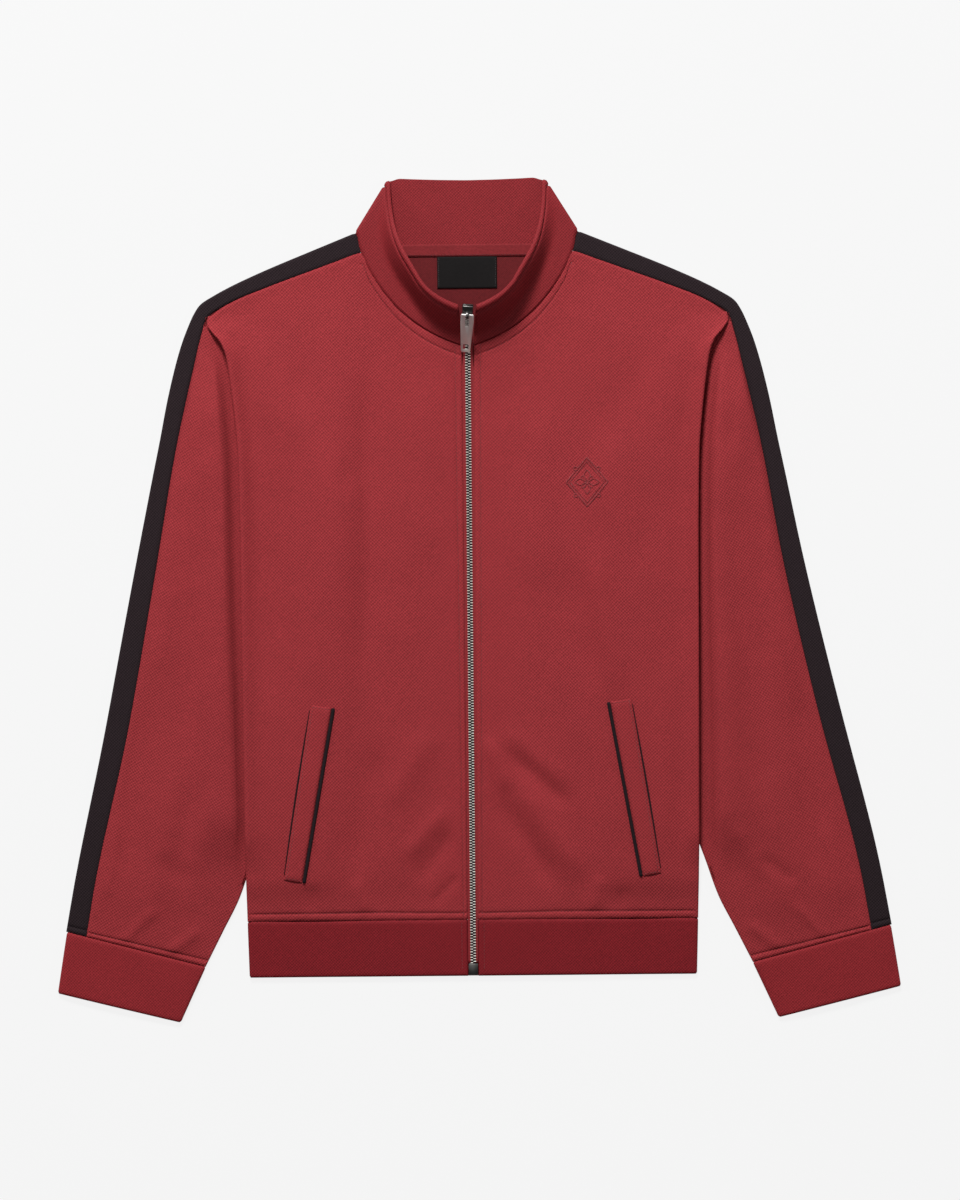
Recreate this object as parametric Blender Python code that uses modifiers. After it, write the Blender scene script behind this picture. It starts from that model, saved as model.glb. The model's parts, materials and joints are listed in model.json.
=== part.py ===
"""Zip-up sweatshirt laid flat, front up.

Millimetres in the tables, metres in the meshes. +Z is up, away from the surface it lies on.
X = 0 is the zip's line and +X is the wearer's left. The origin is on the underside of the back.
"""
import math
from collections import namedtuple

import bmesh
import bpy
import numpy as np
from mathutils import Matrix, Vector

MM = 0.001

# Cloth
CLOTH = 1.2            # body and sleeve knit
BAND = 1.6             # doubled jersey of the hem band and cuffs
COLLAR = 2.2           # doubled collar
TRIM = 1.0             # neck tape and label
GAP = 0.4              # between layers that lie on each other
SEAM = 0.3             # between pieces at a seam
HIDDEN_SEAM = 0.8      # half of it, where the seam lies under the body

# Heights of the folded edges, outside to outside
SHOULDER_FOLD = 4.0
SLEEVE_PRESSED = 2.9   # the sleeve's two layers where the body lies on it
UNDER_BODY = SLEEVE_PRESSED + GAP
CUFF_FOLD = 4.4
CUFF_PUFF = 1.2        # rise in the middle of the cuff

# Body
ZIP_HALF_GAP = 5.0     # from the zip's line to a front's folded edge
HEM_SEAM_Y = -293.0
HEM_Y = -344.5
ZIP_EDGE_HEIGHT = 4.8  # top of the front's edge along the zip
SHOULDER_HEIGHT = 4.0  # top of the front's edge along the shoulder
RAMP = 45.0            # width over which the fronts come down beside the folded sides

# Each front turns under at its side; the turn starts below the shoulder's tip
TIP_Y = 264.5
LIFT_DISTANCE = 14.0         # the front climbs onto the sleeve over this distance
FRONT_TURN = (257.0, 27.0)   # y where the turn starts, and the distance to a full half turn
FRONT_FOLD = 2.2             # outside radius of the front's side fold
BAND_FOLD = 2.2
SLEEVE_LEAVES_Y = -252.0     # below this the sleeve lies beside the body

# Neck
COLLAR_FOLD = 2.5            # outside radius of the collar's side folds
COLLAR_TUCK = 1.2            # the collar's seam edge lies this far inside the neck seam
TAPE = (318.0, 325.6, 80.0)  # low edge, high edge, half length
LABEL = (288.5, 317.6, 27.5)

# Zip
CHAIN_HALF = 2.65
CHAIN_DEPTH = (0.4, 2.4)     # below the cloth's surface: top and underside
TAPE_DEPTH = (1.6, 2.6)
TAPE_EDGES = (2.95, 15.0, 4.65)   # inner edge, outer edge under the front, outer edge in the bands
ZIP_TOP_Y = 260.9
SLIDER = (10.0, 10.5, 5.0)   # width, length, thickness
SLIDER_SLOPE = math.radians(35.0)
HINGE_Y = 261.4
HINGE_Z = 36.9
HINGE_BELOW = 3.0            # from the slider's middle to the hinge, along the slider
TAB_SLOPE = math.radians(42.0)
TAB_TURN = math.radians(-3.8)     # the slider hangs a little askew
TAB_THICKNESS = 1.4
SLIDER_NECK = 3.2            # width of the neck between the slider's plates
SLIDER_GROOVE = 1.6
BAIL_INNER = 1.9             # the arch, clear of the tab's bar as it turns
BAIL_OUTER = 3.3
BAIL_WIDTH = 2.5
# half width of the tab, and y from the hinge
TAB_OUTLINE = [(5.2, 0.9), (5.9, -0.5), (6.0, -9.0), (4.3, -41.5), (3.4, -42.7)]
TAB_WINDOW = (1.85, -12.4, -0.9)  # half width, low end, high end
TAB_SLOT = (2.5, -40.1, -33.5)
BOTTOM_BOX = (8.8, 10.6, 2.8)     # width, length, thickness
BOTTOM_BOX_Y = HEM_Y + 6.0

Outline = namedtuple("Outline", "outer_x outer_y seam_x seam_y")
STRIPE_OUTLINE = [
    # from the neck along the shoulder and down the sleeve's outer edge to the cuff
    Outline(103.5, 340.0, 98.0, 322.0),
    Outline(154.0, 319.6, 147.5, 304.3),
    Outline(194.0, 303.0, 187.5, 289.8),
    Outline(228.5, 286.3, 222.0, 275.3),
    Outline(246.5, 275.0, 239.0, 264.5),
    Outline(257.0, 256.0, 244.5, 250.5),
    Outline(268.6, 222.2, 252.5, 218.5),
    Outline(284.7, 148.6, 269.0, 145.5),
    Outline(307.3, 38.2, 288.8, 34.5),
    Outline(339.0, -109.1, 318.8, -113.0),
    Outline(372.1, -256.3, 353.8, -260.0),
    Outline(380.0, -300.4, 361.5, -305.3),
]

Sleeve = namedtuple("Sleeve", "seam_y inner_x inner_y puff")
SLEEVE_SECTIONS = [
    # from the shoulder's tip to the cuff: where a section meets the stripe's seam, and its inner end,
    # which is the armhole seam down to the underarm and the sleeve's inner fold from there
    Sleeve(258.0, 234.0, 254.0, 0.0),
    Sleeve(250.5, 222.0, 242.0, 0.6),
    Sleeve(218.5, 198.0, 206.0, 2.4),
    Sleeve(145.5, 160.0, 150.0, 3.4),
    Sleeve(90.0, 121.0, 89.0, 3.6),
    Sleeve(65.0, 131.0, 64.0, 3.6),
    Sleeve(34.5, 139.0, 33.0, 3.6),
    Sleeve(-113.0, 173.0, -116.0, 3.4),
    Sleeve(-191.0, 196.5, -204.0, 3.2),
    Sleeve(-260.0, 220.5, -272.0, 2.6),
    Sleeve(-305.3, 251.9, -334.0, 0.8),
]
UNDERARM_Y = 89.0
ARM_LEAN = 5.5         # both cuffs lie this far towards the wearer's left
LEAN_FROM = (70.0, 320.0)    # y where the lean begins, and the distance to its full amount

Cuff = namedtuple("Cuff", "outer_x outer_y inner_x inner_y")
CUFF_SECTIONS = [
    Cuff(379.3, -301.0, 251.8, -334.4),
    Cuff(383.5, -327.0, 262.5, -357.5),
    Cuff(388.2, -357.3, 275.3, -385.3),
]

Point = namedtuple("Point", "x y")
SIDE_FOLD = [
    Point(239.3, 264.5), Point(240.4, 257.5), Point(235.4, 249.0), Point(226.0, 238.0), Point(220.5, 215.0),
    Point(216.5, 185.0), Point(213.0, 150.0), Point(211.0, 80.0), Point(210.5, 0.0),
    Point(209.5, -150.0), Point(208.4, -256.0), Point(207.5, -294.0), Point(206.0, -345.0),
]
SIDE_SEAM = [
    # the armhole seam from the shoulder's tip to the underarm, then the side seam to the hem
    Point(239.0, 264.5), Point(234.0, 254.0), Point(222.0, 242.0), Point(198.0, 206.0),
    Point(160.0, 150.0), Point(121.0, 89.0), Point(131.0, -20.0), Point(153.0, -294.0),
    Point(153.0, -345.0),
]
BACK_NECK = [
    Point(0.0, 326.0), Point(35.0, 326.0), Point(69.0, 326.0), Point(88.0, 325.4), Point(97.4, 322.0),
]
# air under the front along its top edge, from the zip to the shoulder: x and height
NECK_AIR = [(5.0, 4.2), (40.0, 4.0), (80.0, 3.0), (98.0, 1.4), (240.0, 1.2)]

Fold = namedtuple("Fold", "x0 y0 x1 y1 width height")
FRONT_FOLDS = [
    # the largest soft folds of the fronts, as seen from above; minus X is the wearer's right
    Fold(-92.0, 250.0, -95.0, -90.0, 13.0, -1.6),
    Fold(-128.0, 240.0, -130.0, -60.0, 24.0, 2.2),
    Fold(-18.0, -190.0, -62.0, -236.0, 10.0, 1.3),
    Fold(20.0, -178.0, 80.0, -268.0, 10.0, -2.0),
    Fold(40.0, -172.0, 98.0, -258.0, 13.0, 2.4),
    Fold(25.0, -118.0, 94.0, -172.0, 12.0, 1.2),
    Fold(112.0, 45.0, 134.0, -90.0, 12.0, 1.4),
    Fold(60.0, 180.0, 66.0, 20.0, 30.0, 1.4),
]

CollarStation = namedtuple("CollarStation", "seam_x seam_y seam_z edge_x edge_y edge_z plateau")
COLLAR_FRONT = [
    # from the zip to the collar's side fold; plateau is the share of the width that lies low
    CollarStation(5.6, 234.8, 7.0, 8.4, 270.5, 38.0, 0.10),
    CollarStation(23.9, 241.9, 7.0, 23.9, 277.4, 38.5, 0.14),
    CollarStation(40.7, 251.0, 6.8, 38.8, 288.7, 37.5, 0.26),
    CollarStation(59.7, 265.4, 6.4, 51.2, 308.6, 34.0, 0.36),
    CollarStation(78.7, 287.1, 5.8, 62.2, 330.0, 27.0, 0.42),
    CollarStation(97.4, 322.0, 5.2, 69.8, 365.0, 11.5, 0.50),
    CollarStation(101.4, 338.6, 5.0, 70.8, 387.6, 5.0, 0.50),
]
COLLAR_BACK = [
    # from the side fold to the middle of the back
    CollarStation(101.4, 338.6, 0.0, 70.8, 387.6, 0.0, 0.50),
    CollarStation(91.0, 328.6, 0.0, 63.0, 389.6, 0.0, 0.50),
    CollarStation(66.0, 326.6, 0.0, 48.0, 389.2, 0.0, 0.50),
    CollarStation(33.0, 326.4, 0.0, 24.0, 388.4, 0.0, 0.50),
    CollarStation(0.0, 326.3, 0.0, 0.0, 388.0, 0.0, 0.50),
]
PLATEAU_RISE = 0.04
COLLAR_COLUMNS = (14, 7)     # in the front half and in the back half
# shares of the steep part of the collar, from the plateau to the edge
COLLAR_STEPS = (0.0, 0.15, 0.32, 0.5, 0.68, 0.85, 1.0)

Welt = namedtuple("Welt", "inner_x outer_x y")
WELT_SECTIONS = [Welt(128.3, 147.2, -95.3), Welt(156.9, 173.4, -255.8)]
WELT_SKEW = 2.8        # the welt's ends slope up towards the side
PIPING_WIDTH = 3.2
PIPING_HEIGHT = 1.5

COLOURS = {
    "knit": ((0.30, 0.032, 0.036, 1.0), 0.85, 0.0),
    "stripe": ((0.018, 0.014, 0.016, 1.0), 0.8, 0.0),
    "tape": ((0.06, 0.012, 0.014, 1.0), 0.8, 0.0),
    "label": ((0.012, 0.012, 0.012, 1.0), 0.7, 0.0),
    "chain": ((0.25, 0.22, 0.20, 1.0), 0.35, 1.0),
    "slider": ((0.10, 0.10, 0.10, 1.0), 0.35, 1.0),
    "tab": ((0.60, 0.58, 0.56, 1.0), 0.3, 1.0),
}


# ---------------------------------------------------------------- helpers

def smooth(t):
    """0 to 1 with level ends."""
    t = min(max(t, 0.0), 1.0)
    return t * t * (3.0 - 2.0 * t)


def mix(a, b, t):
    return a + (b - a) * t


def sampled(points, count):
    """Points at even distances along a smooth curve through the given ones."""
    knots = np.array([tuple(p) for p in points], dtype=float)
    steps = np.linalg.norm(np.diff(knots[:, :2], axis=0), axis=1)
    where = np.concatenate([[0.0], np.cumsum(np.maximum(steps, 1e-6))])
    slopes = np.gradient(knots, where, axis=0)
    fine = []
    for i in range(len(knots) - 1):
        span = where[i + 1] - where[i]
        for t in np.linspace(0.0, 1.0, 24, endpoint=False):
            fine.append(hermite(knots[i], knots[i + 1], slopes[i] * span, slopes[i + 1] * span, t))
    fine.append(knots[-1])
    fine = np.array(fine)
    lengths = np.concatenate([[0.0], np.cumsum(np.linalg.norm(np.diff(fine[:, :2], axis=0), axis=1))])
    targets = np.linspace(0.0, lengths[-1], count)
    return np.stack([np.interp(targets, lengths, fine[:, k]) for k in range(fine.shape[1])], axis=1)


def hermite(a, b, slope_a, slope_b, t):
    return ((2 * t ** 3 - 3 * t ** 2 + 1) * a + (t ** 3 - 2 * t ** 2 + t) * slope_a
            + (-2 * t ** 3 + 3 * t ** 2) * b + (t ** 3 - t ** 2) * slope_b)


def x_of_y(points):
    """The smooth curve through points as a function from y to x."""
    line = sampled(points, 200)
    order = np.argsort(line[:, 1])
    return lambda y: float(np.interp(y, line[order, 1], line[order, 0]))


def straight_x_of_y(points):
    """The straight runs between points as a function from y to x."""
    line = np.array([(p[0], p[1]) for p in points])
    order = np.argsort(line[:, 1])
    return lambda y: float(np.interp(y, line[order, 1], line[order, 0]))


side_fold_x = x_of_y(SIDE_FOLD)
side_seam_x = straight_x_of_y(SIDE_SEAM)
sleeve_inner_x = straight_x_of_y([(s.inner_x, s.inner_y) for s in SLEEVE_SECTIONS])


def material(kind):
    found = bpy.data.materials.get(kind)
    if found:
        return found
    colour, roughness, metallic = COLOURS[kind]
    made = bpy.data.materials.new(kind)
    made.use_nodes = True
    shader = made.node_tree.nodes["Principled BSDF"]
    shader.inputs["Base Color"].default_value = colour
    shader.inputs["Roughness"].default_value = roughness
    shader.inputs["Metallic"].default_value = metallic
    made.diffuse_color = colour
    return made


def add_object(name, mesh, kind):
    mesh.materials.append(material(kind))
    mesh.shade_smooth()
    obj = bpy.data.objects.new(name, mesh)
    PARTS.objects.link(obj)
    return obj


def cloth(name, rows, thickness, kind, facing, closed=False):
    """A wall whose outer face is the grid of rows, thickened away from the side it faces."""
    across = len(rows[0])
    points = [Vector(p) * MM for row in rows for p in row]
    faces = []
    last = across if closed else across - 1
    for i in range(len(rows) - 1):
        for j in range(last):
            k = (j + 1) % across
            faces.append((i * across + j, i * across + k, (i + 1) * across + k, (i + 1) * across + j))
    mesh = bpy.data.meshes.new(name)
    mesh.from_pydata(points, [], faces)
    if mesh.polygons[facing[0]].normal.dot(Vector(facing[1])) < 0.0:
        mesh.flip_normals()
    mesh.update()
    obj = add_object(name, mesh, kind)
    shell = obj.modifiers.new("wall", "SOLIDIFY")
    shell.thickness = thickness * MM
    shell.offset = -1.0
    return obj


# ---------------------------------------------------------------- heights of the layers

def under_body(y):
    """Height of what lies under the folded side: the pressed sleeve, then nothing."""
    return mix(UNDER_BODY, 0.0, smooth((SLEEVE_LEAVES_Y - y) / 36.0))


def side_top(y):
    """Top of the front at its side fold."""
    rise = smooth((TIP_Y - y) / LIFT_DISTANCE)
    return mix(SHOULDER_HEIGHT, under_body(y) + 2.0 * FRONT_FOLD, rise)


def beside_folds(x, y):
    """1 over the folded sides, 0 in the middle of the body."""
    return 1.0 - smooth((side_seam_x(y) - abs(x) - 3.0) / RAMP)


def fold_height(x, y):
    """The soft folds' height above the plain cloth."""
    total = 0.0
    for fold in FRONT_FOLDS:
        run = Vector((fold.x1 - fold.x0, fold.y1 - fold.y0))
        t = Vector((x - fold.x0, y - fold.y0)).dot(run) / run.length_squared
        ends = smooth(t / 0.25) * smooth((1.0 - t) / 0.25)
        nearest = Vector((fold.x0, fold.y0)) + run * t
        distance = (Vector((x, y)) - nearest).length
        total += fold.height * ends * math.exp(-(distance / fold.width) ** 2)
    return total


def front_air(x, y):
    """Air between the front and the back, beyond the least gap."""
    least = SHOULDER_HEIGHT - 2.0 * CLOTH - GAP
    along = smooth((y - HEM_SEAM_Y) / 60.0)
    room = ZIP_EDGE_HEIGHT - SHOULDER_HEIGHT
    room += (1.6 * smooth((abs(x) - 20.0) / 60.0) + fold_height(x, y)) * along
    at_side = smooth((side_fold_x(y) - abs(x) - 6.0) / 45.0) if y < TIP_Y else 1.0
    return least + max(room * at_side, 0.0)


def front_height(x, y, depth, top_air):
    """Top of the front panel; depth is the share of the way from its top edge to the hem."""
    air = mix(top_air, front_air(x, y), smooth(depth / 0.12))
    lift = (side_top(y) - SHOULDER_HEIGHT) * beside_folds(x, y)
    return 2.0 * CLOTH + GAP + lift + air


# ---------------------------------------------------------------- body panels

DEPTHS = (0.0, 0.012, 0.027, 0.045, 0.07, 0.11, 0.16, 0.23, 0.315, 0.358, 0.415, 0.50, 0.60, 0.70, 0.79,
          0.87, 0.93, 0.97, 1.0)
BACK_DEPTHS = (0.0, 0.0188, 0.0404, 0.105, 0.2055, 0.315, 0.4, 0.55, 0.7, 0.85, 1.0)
NECK_COLUMNS = 9
SHOULDER_COLUMNS = 8
NECK_SHARE = 78.0      # x at the hem of the column that starts at the neck's corner
BEND_FROM = 60.0       # columns further out than this bend to follow the side
ARC_STEPS = 5


def stripe_sections(seam_levels):
    """Sections of the stripe where its seam is at the given y, neck to cuff."""
    line = sampled(STRIPE_OUTLINE, 240)[::-1]
    return [Outline(*[float(np.interp(y, line[:, 3], line[:, k])) for k in range(4)]) for y in seam_levels]


def shoulder_sections():
    return stripe_sections(np.linspace(STRIPE_OUTLINE[0].seam_y, TIP_Y, SHOULDER_COLUMNS))


def front_neck():
    """The neck seam from the zip to the stripe's corner, as the collar's front has it."""
    return [Point(p[0], p[1]) for p in sampled(COLLAR_FRONT, 60) if p[1] < STRIPE_OUTLINE[0].seam_y]


def column_tops(neck):
    """Top ends of the panel's columns: along the neck, then along the shoulder seam."""
    tops = [Point(*p[:2]) for p in sampled(neck, NECK_COLUMNS)]
    tops += [Point(s.seam_x, s.seam_y) for s in shoulder_sections()][1:]
    return tops


def column_foots(first_x, side):
    """Lower ends of the same columns, along the hem seam."""
    foots = list(np.linspace(first_x, NECK_SHARE, NECK_COLUMNS))
    foots += list(np.linspace(NECK_SHARE, side, SHOULDER_COLUMNS))[1:]
    return [Point(x, HEM_SEAM_Y + SEAM) for x in foots]


def panel_row(tops, foots, depth, side_x):
    """Points (x, y) across a panel, its outer columns bent to follow the side."""
    row = []
    straight = mix(tops[-1].x, foots[-1].x, depth)
    lowered = SEAM * (1.0 - smooth(depth / 0.02))
    for top, foot in zip(tops, foots):
        x, y = mix(top.x, foot.x, depth), mix(top.y, foot.y, depth)
        share = max(x - BEND_FROM, 0.0) / (straight - BEND_FROM)
        row.append((x + (side_x(y) - straight) * share, y - lowered))
    return row


def arc_down(x, y, top, radius, angle):
    """Points of the turn under, from just past the top."""
    turns = [angle * i / ARC_STEPS for i in range(1, ARC_STEPS + 1)]
    return [(x + radius * math.sin(t), y, top - radius * (1.0 - math.cos(t))) for t in turns]


def front_return(y, end, angle, turned, side):
    """The front's cloth under the fold, lying on the sleeve, in to the armhole seam or side seam."""
    end_x, _, low = end
    seam_x = side_seam_x(y) + HIDDEN_SEAM
    sleeve_x = max(min(sleeve_inner_x(y) + side * lean(y), end_x) - 1.5, seam_x + 0.6)
    end_low = mix(low, 0.0, smooth((UNDERARM_Y - y - 20.0) / 40.0))
    ramp_end = mix(seam_x, sleeve_x, 0.35)
    stops = [(mix(end_x, sleeve_x, 0.5), low), (sleeve_x, low), (ramp_end, end_low), (seam_x, end_low)]
    share = turned ** 8
    points = []
    for i, (x, z) in enumerate(stops):
        tail = 0.25 * (i + 1) * (1.0 - share)
        points.append((end_x + tail * math.cos(angle) + (x - end_x) * share, y,
                       low - tail * math.sin(angle) + (z - low) * share))
    return points


def mirrored(points, side):
    return [(side * x, y, z) for x, y, z in points]


def lean(y):
    """How far the arms lie towards plus X of where a symmetric garment has them."""
    start, distance = LEAN_FROM
    return ARM_LEAN * smooth((start - y) / distance)


def arm_row(points, side):
    """A row of one arm, mirrored and leaned."""
    return [(x + lean(y), y, z) for x, y, z in mirrored(points, side)]


def front_rows(side):
    tops = column_tops(front_neck())
    foots = column_foots(ZIP_HALF_GAP, side_fold_x(HEM_SEAM_Y) - FRONT_FOLD)
    rows = []
    for depth in DEPTHS:
        flat = panel_row(tops, foots, depth, lambda y: side_fold_x(y) - FRONT_FOLD)
        row = []
        for top, (x, y) in zip(tops, flat):
            top_air = float(np.interp(top.x, *zip(*NECK_AIR)))
            row.append((x, y, front_height(side * x, y, depth, top_air)))
        x, y, _ = row[-1]
        row[-1] = (x, y, side_top(y))
        start, distance = FRONT_TURN
        turned = smooth((start - y) / distance)
        angle = math.pi * max(turned, 0.12)
        row += arc_down(x, y, side_top(y), FRONT_FOLD, angle)
        row += front_return(y, row[-1], angle, turned, side)
        rows.append(mirrored(row, side))
    return rows


def back_rows(side):
    """Half of the back panel, which lies flat, from the middle to the armhole and side seams."""
    tops = column_tops(BACK_NECK)
    foots = column_foots(0.0, side_seam_x(HEM_SEAM_Y) - HIDDEN_SEAM)
    rows = []
    for depth in BACK_DEPTHS:
        flat = panel_row(tops, foots, depth, lambda y: side_seam_x(y) - HIDDEN_SEAM)
        rows.append([(side * x, y, CLOTH) for x, y in flat])
    return rows


def make_body():
    for side, word in ((1, "left"), (-1, "right")):
        cloth("front_" + word, front_rows(side), CLOTH, "knit", (0, (0, 0, 1)))
    rows = [list(reversed(right)) + left[1:] for left, right in zip(back_rows(1), back_rows(-1))]
    cloth("back_panel", rows, CLOTH, "knit", (len(rows[0]) // 2, (0, 0, 1)))


# ---------------------------------------------------------------- hem band

BAND_DEPTHS = (0.0, 0.3, 0.65, 1.0)
BAND_COLUMNS = 8


def band_front_row(y):
    side = side_fold_x(y) - BAND_FOLD
    row = []
    for x in np.linspace(ZIP_HALF_GAP, side, BAND_COLUMNS):
        near_zip = 1.0 - smooth((x - 60.0) / 90.0)
        row.append((x, y, mix(2.0 * BAND_FOLD, ZIP_EDGE_HEIGHT, near_zip)))
    row += arc_down(side, y, 2.0 * BAND_FOLD, BAND_FOLD, math.pi)
    return row + [(side_seam_x(y) + SEAM, y, 0.0)]


def make_hem_band():
    levels = [mix(HEM_SEAM_Y, HEM_Y, t) for t in BAND_DEPTHS]
    for side, word in ((1, "left"), (-1, "right")):
        rows = [mirrored(band_front_row(y), side) for y in levels]
        cloth("hem_band_" + word, rows, BAND, "knit", (0, (0, 0, 1)))
    rows = []
    for y in levels:
        edge = side_seam_x(y) - SEAM
        rows.append([(x, y, BAND) for x in np.linspace(-edge, edge, 9)])
    cloth("hem_band_back", rows, BAND, "knit", (4, (0, 0, 1)))


# ---------------------------------------------------------------- sleeves, stripes and cuffs

def stripe_row(section):
    """Across the stripe: in from its seam on top, round the outer edge and back below."""
    outer, seam = Vector((section.outer_x, section.outer_y)), Vector((section.seam_x, section.seam_y))
    radius = SHOULDER_FOLD / 2.0
    width = (seam - outer).length - SEAM
    inward = (seam - outer).normalized()
    row = [(*(outer + inward * width), SHOULDER_FOLD)]
    for i in range(7):
        turn = math.pi * i / 6.0
        reach = radius - radius * math.sin(turn)
        row.append((*(outer + inward * reach), radius + radius * math.cos(turn)))
    return row + [(*(outer + inward * width), 0.0)]


def make_stripe(side, word):
    sections = shoulder_sections() + stripe_sections(SLEEVE_STATIONS)
    rows = [arm_row(stripe_row(section), side) for section in sections]
    cloth("stripe_" + word, rows, CLOTH, "stripe", (0, (0, 0, 1)))


SLEEVE_STATIONS = (258.0, 250.5, 237.0, 218.5, 185.0, 145.5, 115.0, 90.0, 82.0, 75.0, 68.0, 60.0, 34.5,
                   -20.0, -65.0, -113.0, -152.0, -191.0, -228.0, -260.0, -282.0, -305.2)
SLEEVE_SHARES = (0.0, 0.08, 0.22, 0.4, 0.6, 0.78, 0.92, 1.0)
FLAT_STEP = 0.5        # between the last points of the sleeve's front along the armhole


def sleeve_sections():
    """The sleeve's sections: seam point, inner point and puff."""
    table = np.array(SLEEVE_SECTIONS)[::-1]
    sections = []
    for y, stripe in zip(SLEEVE_STATIONS, stripe_sections(SLEEVE_STATIONS)):
        inner_x, inner_y, puff = [float(np.interp(y, table[:, 0], table[:, k])) for k in (1, 2, 3)]
        sections.append((Vector((stripe.seam_x, y)), Vector((inner_x, inner_y)), puff))
    return sections


def sleeve_front_row(seam, inner, puff):
    """Top of the sleeve: from the stripe's seam to the armhole seam, or round the inner fold."""
    inward = (inner - seam).normalized()
    radius = SLEEVE_PRESSED / 2.0
    free = smooth((UNDERARM_Y - inner.y - 3.0) / 28.0)
    width = (inner - seam).length - mix(HIDDEN_SEAM + 5.0 * FLAT_STEP, radius, free)
    shown = width - 1.2
    body_edge = side_fold_x(inner.y)
    if inner.x < body_edge:
        shown = min((seam.x - body_edge - 2.0) / abs(inward.x), shown)
    shown = max(shown, 0.8)
    row = []
    for share in SLEEVE_SHARES:
        z = mix(SHOULDER_FOLD, SLEEVE_PRESSED, smooth(share)) + puff * math.sin(math.pi * share)
        row.append((*(seam + inward * mix(SEAM, shown, share)), z))
    for share in (0.5, 1.0):
        row.append((*(seam + inward * mix(shown, width, share)), SLEEVE_PRESSED))
    for i in range(1, 5):
        turn = math.pi * i / 4.0
        reach = width + mix(FLAT_STEP * i, radius * math.sin(turn), free)
        row.append((*(seam + inward * reach), SLEEVE_PRESSED - radius * (1.0 - math.cos(turn)) * free))
    reach = width + mix(FLAT_STEP * 5.0, -HIDDEN_SEAM, free)
    row.append((*(seam + inward * reach), SLEEVE_PRESSED * (1.0 - free)))
    return row


def sleeve_back_row(seam, inner, puff):
    """Underside of the sleeve, flat from the stripe's seam to the armhole seam or the underarm seam."""
    inward = (inner - seam).normalized()
    free = smooth((UNDERARM_Y - inner.y + 2.0) / 8.0)
    width = (inner - seam).length - mix(0.5, SLEEVE_PRESSED / 2.0 + HIDDEN_SEAM + SEAM, free)
    return [(*(seam + inward * mix(SEAM, width, share)), 0.0) for share in (0.0, 0.25, 0.5, 0.75, 1.0)]


def make_sleeve(side, word):
    sections = sleeve_sections()
    front = [arm_row(sleeve_front_row(*section), side) for section in sections]
    back = [arm_row(sleeve_back_row(*section), side) for section in sections]
    cloth("sleeve_front_" + word, front, CLOTH, "knit", (len(front[0]) * 6, (0, 0, 1)))
    cloth("sleeve_back_" + word, back, CLOTH, "knit", (len(back[0]) * 6, (0, 0, -1)))


def cuff_rows():
    """Rings round the flattened cuff, from the sleeve's seam to its folded edge."""
    rows = []
    radius = CUFF_FOLD / 2.0
    for outer_x, outer_y, inner_x, inner_y in sampled(CUFF_SECTIONS, 4):
        outer, inner = Vector((outer_x, outer_y)), Vector((inner_x, inner_y))
        inward = (inner - outer).normalized()
        width = (inner - outer).length
        row = []
        for i in range(7):
            turn = math.pi * i / 6.0
            reach = radius - radius * math.sin(turn)
            row.append((*(outer + inward * reach), radius - radius * math.cos(turn)))
        for share in (0.25, 0.5, 0.75):
            reach = mix(radius, width - radius, share)
            row.append((*(outer + inward * reach), CUFF_FOLD + CUFF_PUFF * math.sin(math.pi * share)))
        for i in range(7):
            turn = math.pi * i / 6.0
            reach = width - radius + radius * math.sin(turn)
            row.append((*(outer + inward * reach), radius + radius * math.cos(turn)))
        for share in (0.75, 0.5, 0.25):
            row.append((*(outer + inward * mix(radius, width - radius, share)), 0.0))
        rows.append(row)
    return rows


def make_cuff(side, word):
    rows = [arm_row(row, side) for row in cuff_rows()]
    cloth("cuff_" + word, rows, BAND, "knit", (8, (0, 0, 1)), closed=True)


def make_arms():
    for side, word in ((1, "left"), (-1, "right")):
        make_stripe(side, word)
        make_sleeve(side, word)
        make_cuff(side, word)


# ---------------------------------------------------------------- collar and neck

def collar_profile(plateau):
    """Run and rise across the standing collar, seam to edge: low, then steep, then level at the edge."""
    profile = [(0.0, 0.0), (plateau / 2.0, PLATEAU_RISE / 2.0)]
    for step in COLLAR_STEPS:
        profile.append((mix(plateau, 1.0, step), mix(PLATEAU_RISE, 1.0, smooth(step))))
    return profile


def collar_section(station):
    """Points from seam to edge across the collar."""
    seam = Vector((station.seam_x, station.seam_y, station.seam_z))
    edge = Vector((station.edge_x, station.edge_y, station.edge_z))
    inward = Vector((edge.x - seam.x, edge.y - seam.y, 0.0)).normalized()
    row = []
    for run, rise in collar_profile(station.plateau):
        plan = seam.lerp(edge, run) + inward * COLLAR_TUCK * (1.0 - run)
        row.append((plan.x, plan.y, mix(seam.z, edge.z, rise)))
    return row


def collar_half():
    """Columns of the collar from the zip round the side to the middle of the back."""
    columns = []
    front = [CollarStation(*s) for s in sampled(COLLAR_FRONT, COLLAR_COLUMNS[0])]
    for station in front:
        columns.append(collar_section(station))
    seam = Vector((COLLAR_FRONT[-1].seam_x, COLLAR_FRONT[-1].seam_y))
    edge = Vector((COLLAR_FRONT[-1].edge_x, COLLAR_FRONT[-1].edge_y))
    along = (edge - seam).normalized()
    outward = Vector((along.y, -along.x))
    for i in range(1, 6):
        turn = math.pi * i / 6.0
        shift = outward * COLLAR_FOLD * math.sin(turn)
        height = COLLAR_FOLD + COLLAR_FOLD * math.cos(turn)
        columns.append([(x + shift.x, y + shift.y, height) for x, y, _ in columns[len(front) - 1]])
    for station in sampled(COLLAR_BACK, COLLAR_COLUMNS[1]):
        columns.append(collar_section(CollarStation(*station)))
    return columns


def make_collar():
    half = collar_half()
    other = [mirrored(column, -1) for column in half]
    columns = half + list(reversed(other))[1:]
    cloth("collar", columns, COLLAR, "knit", (0, (0, -1, 1)))


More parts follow.
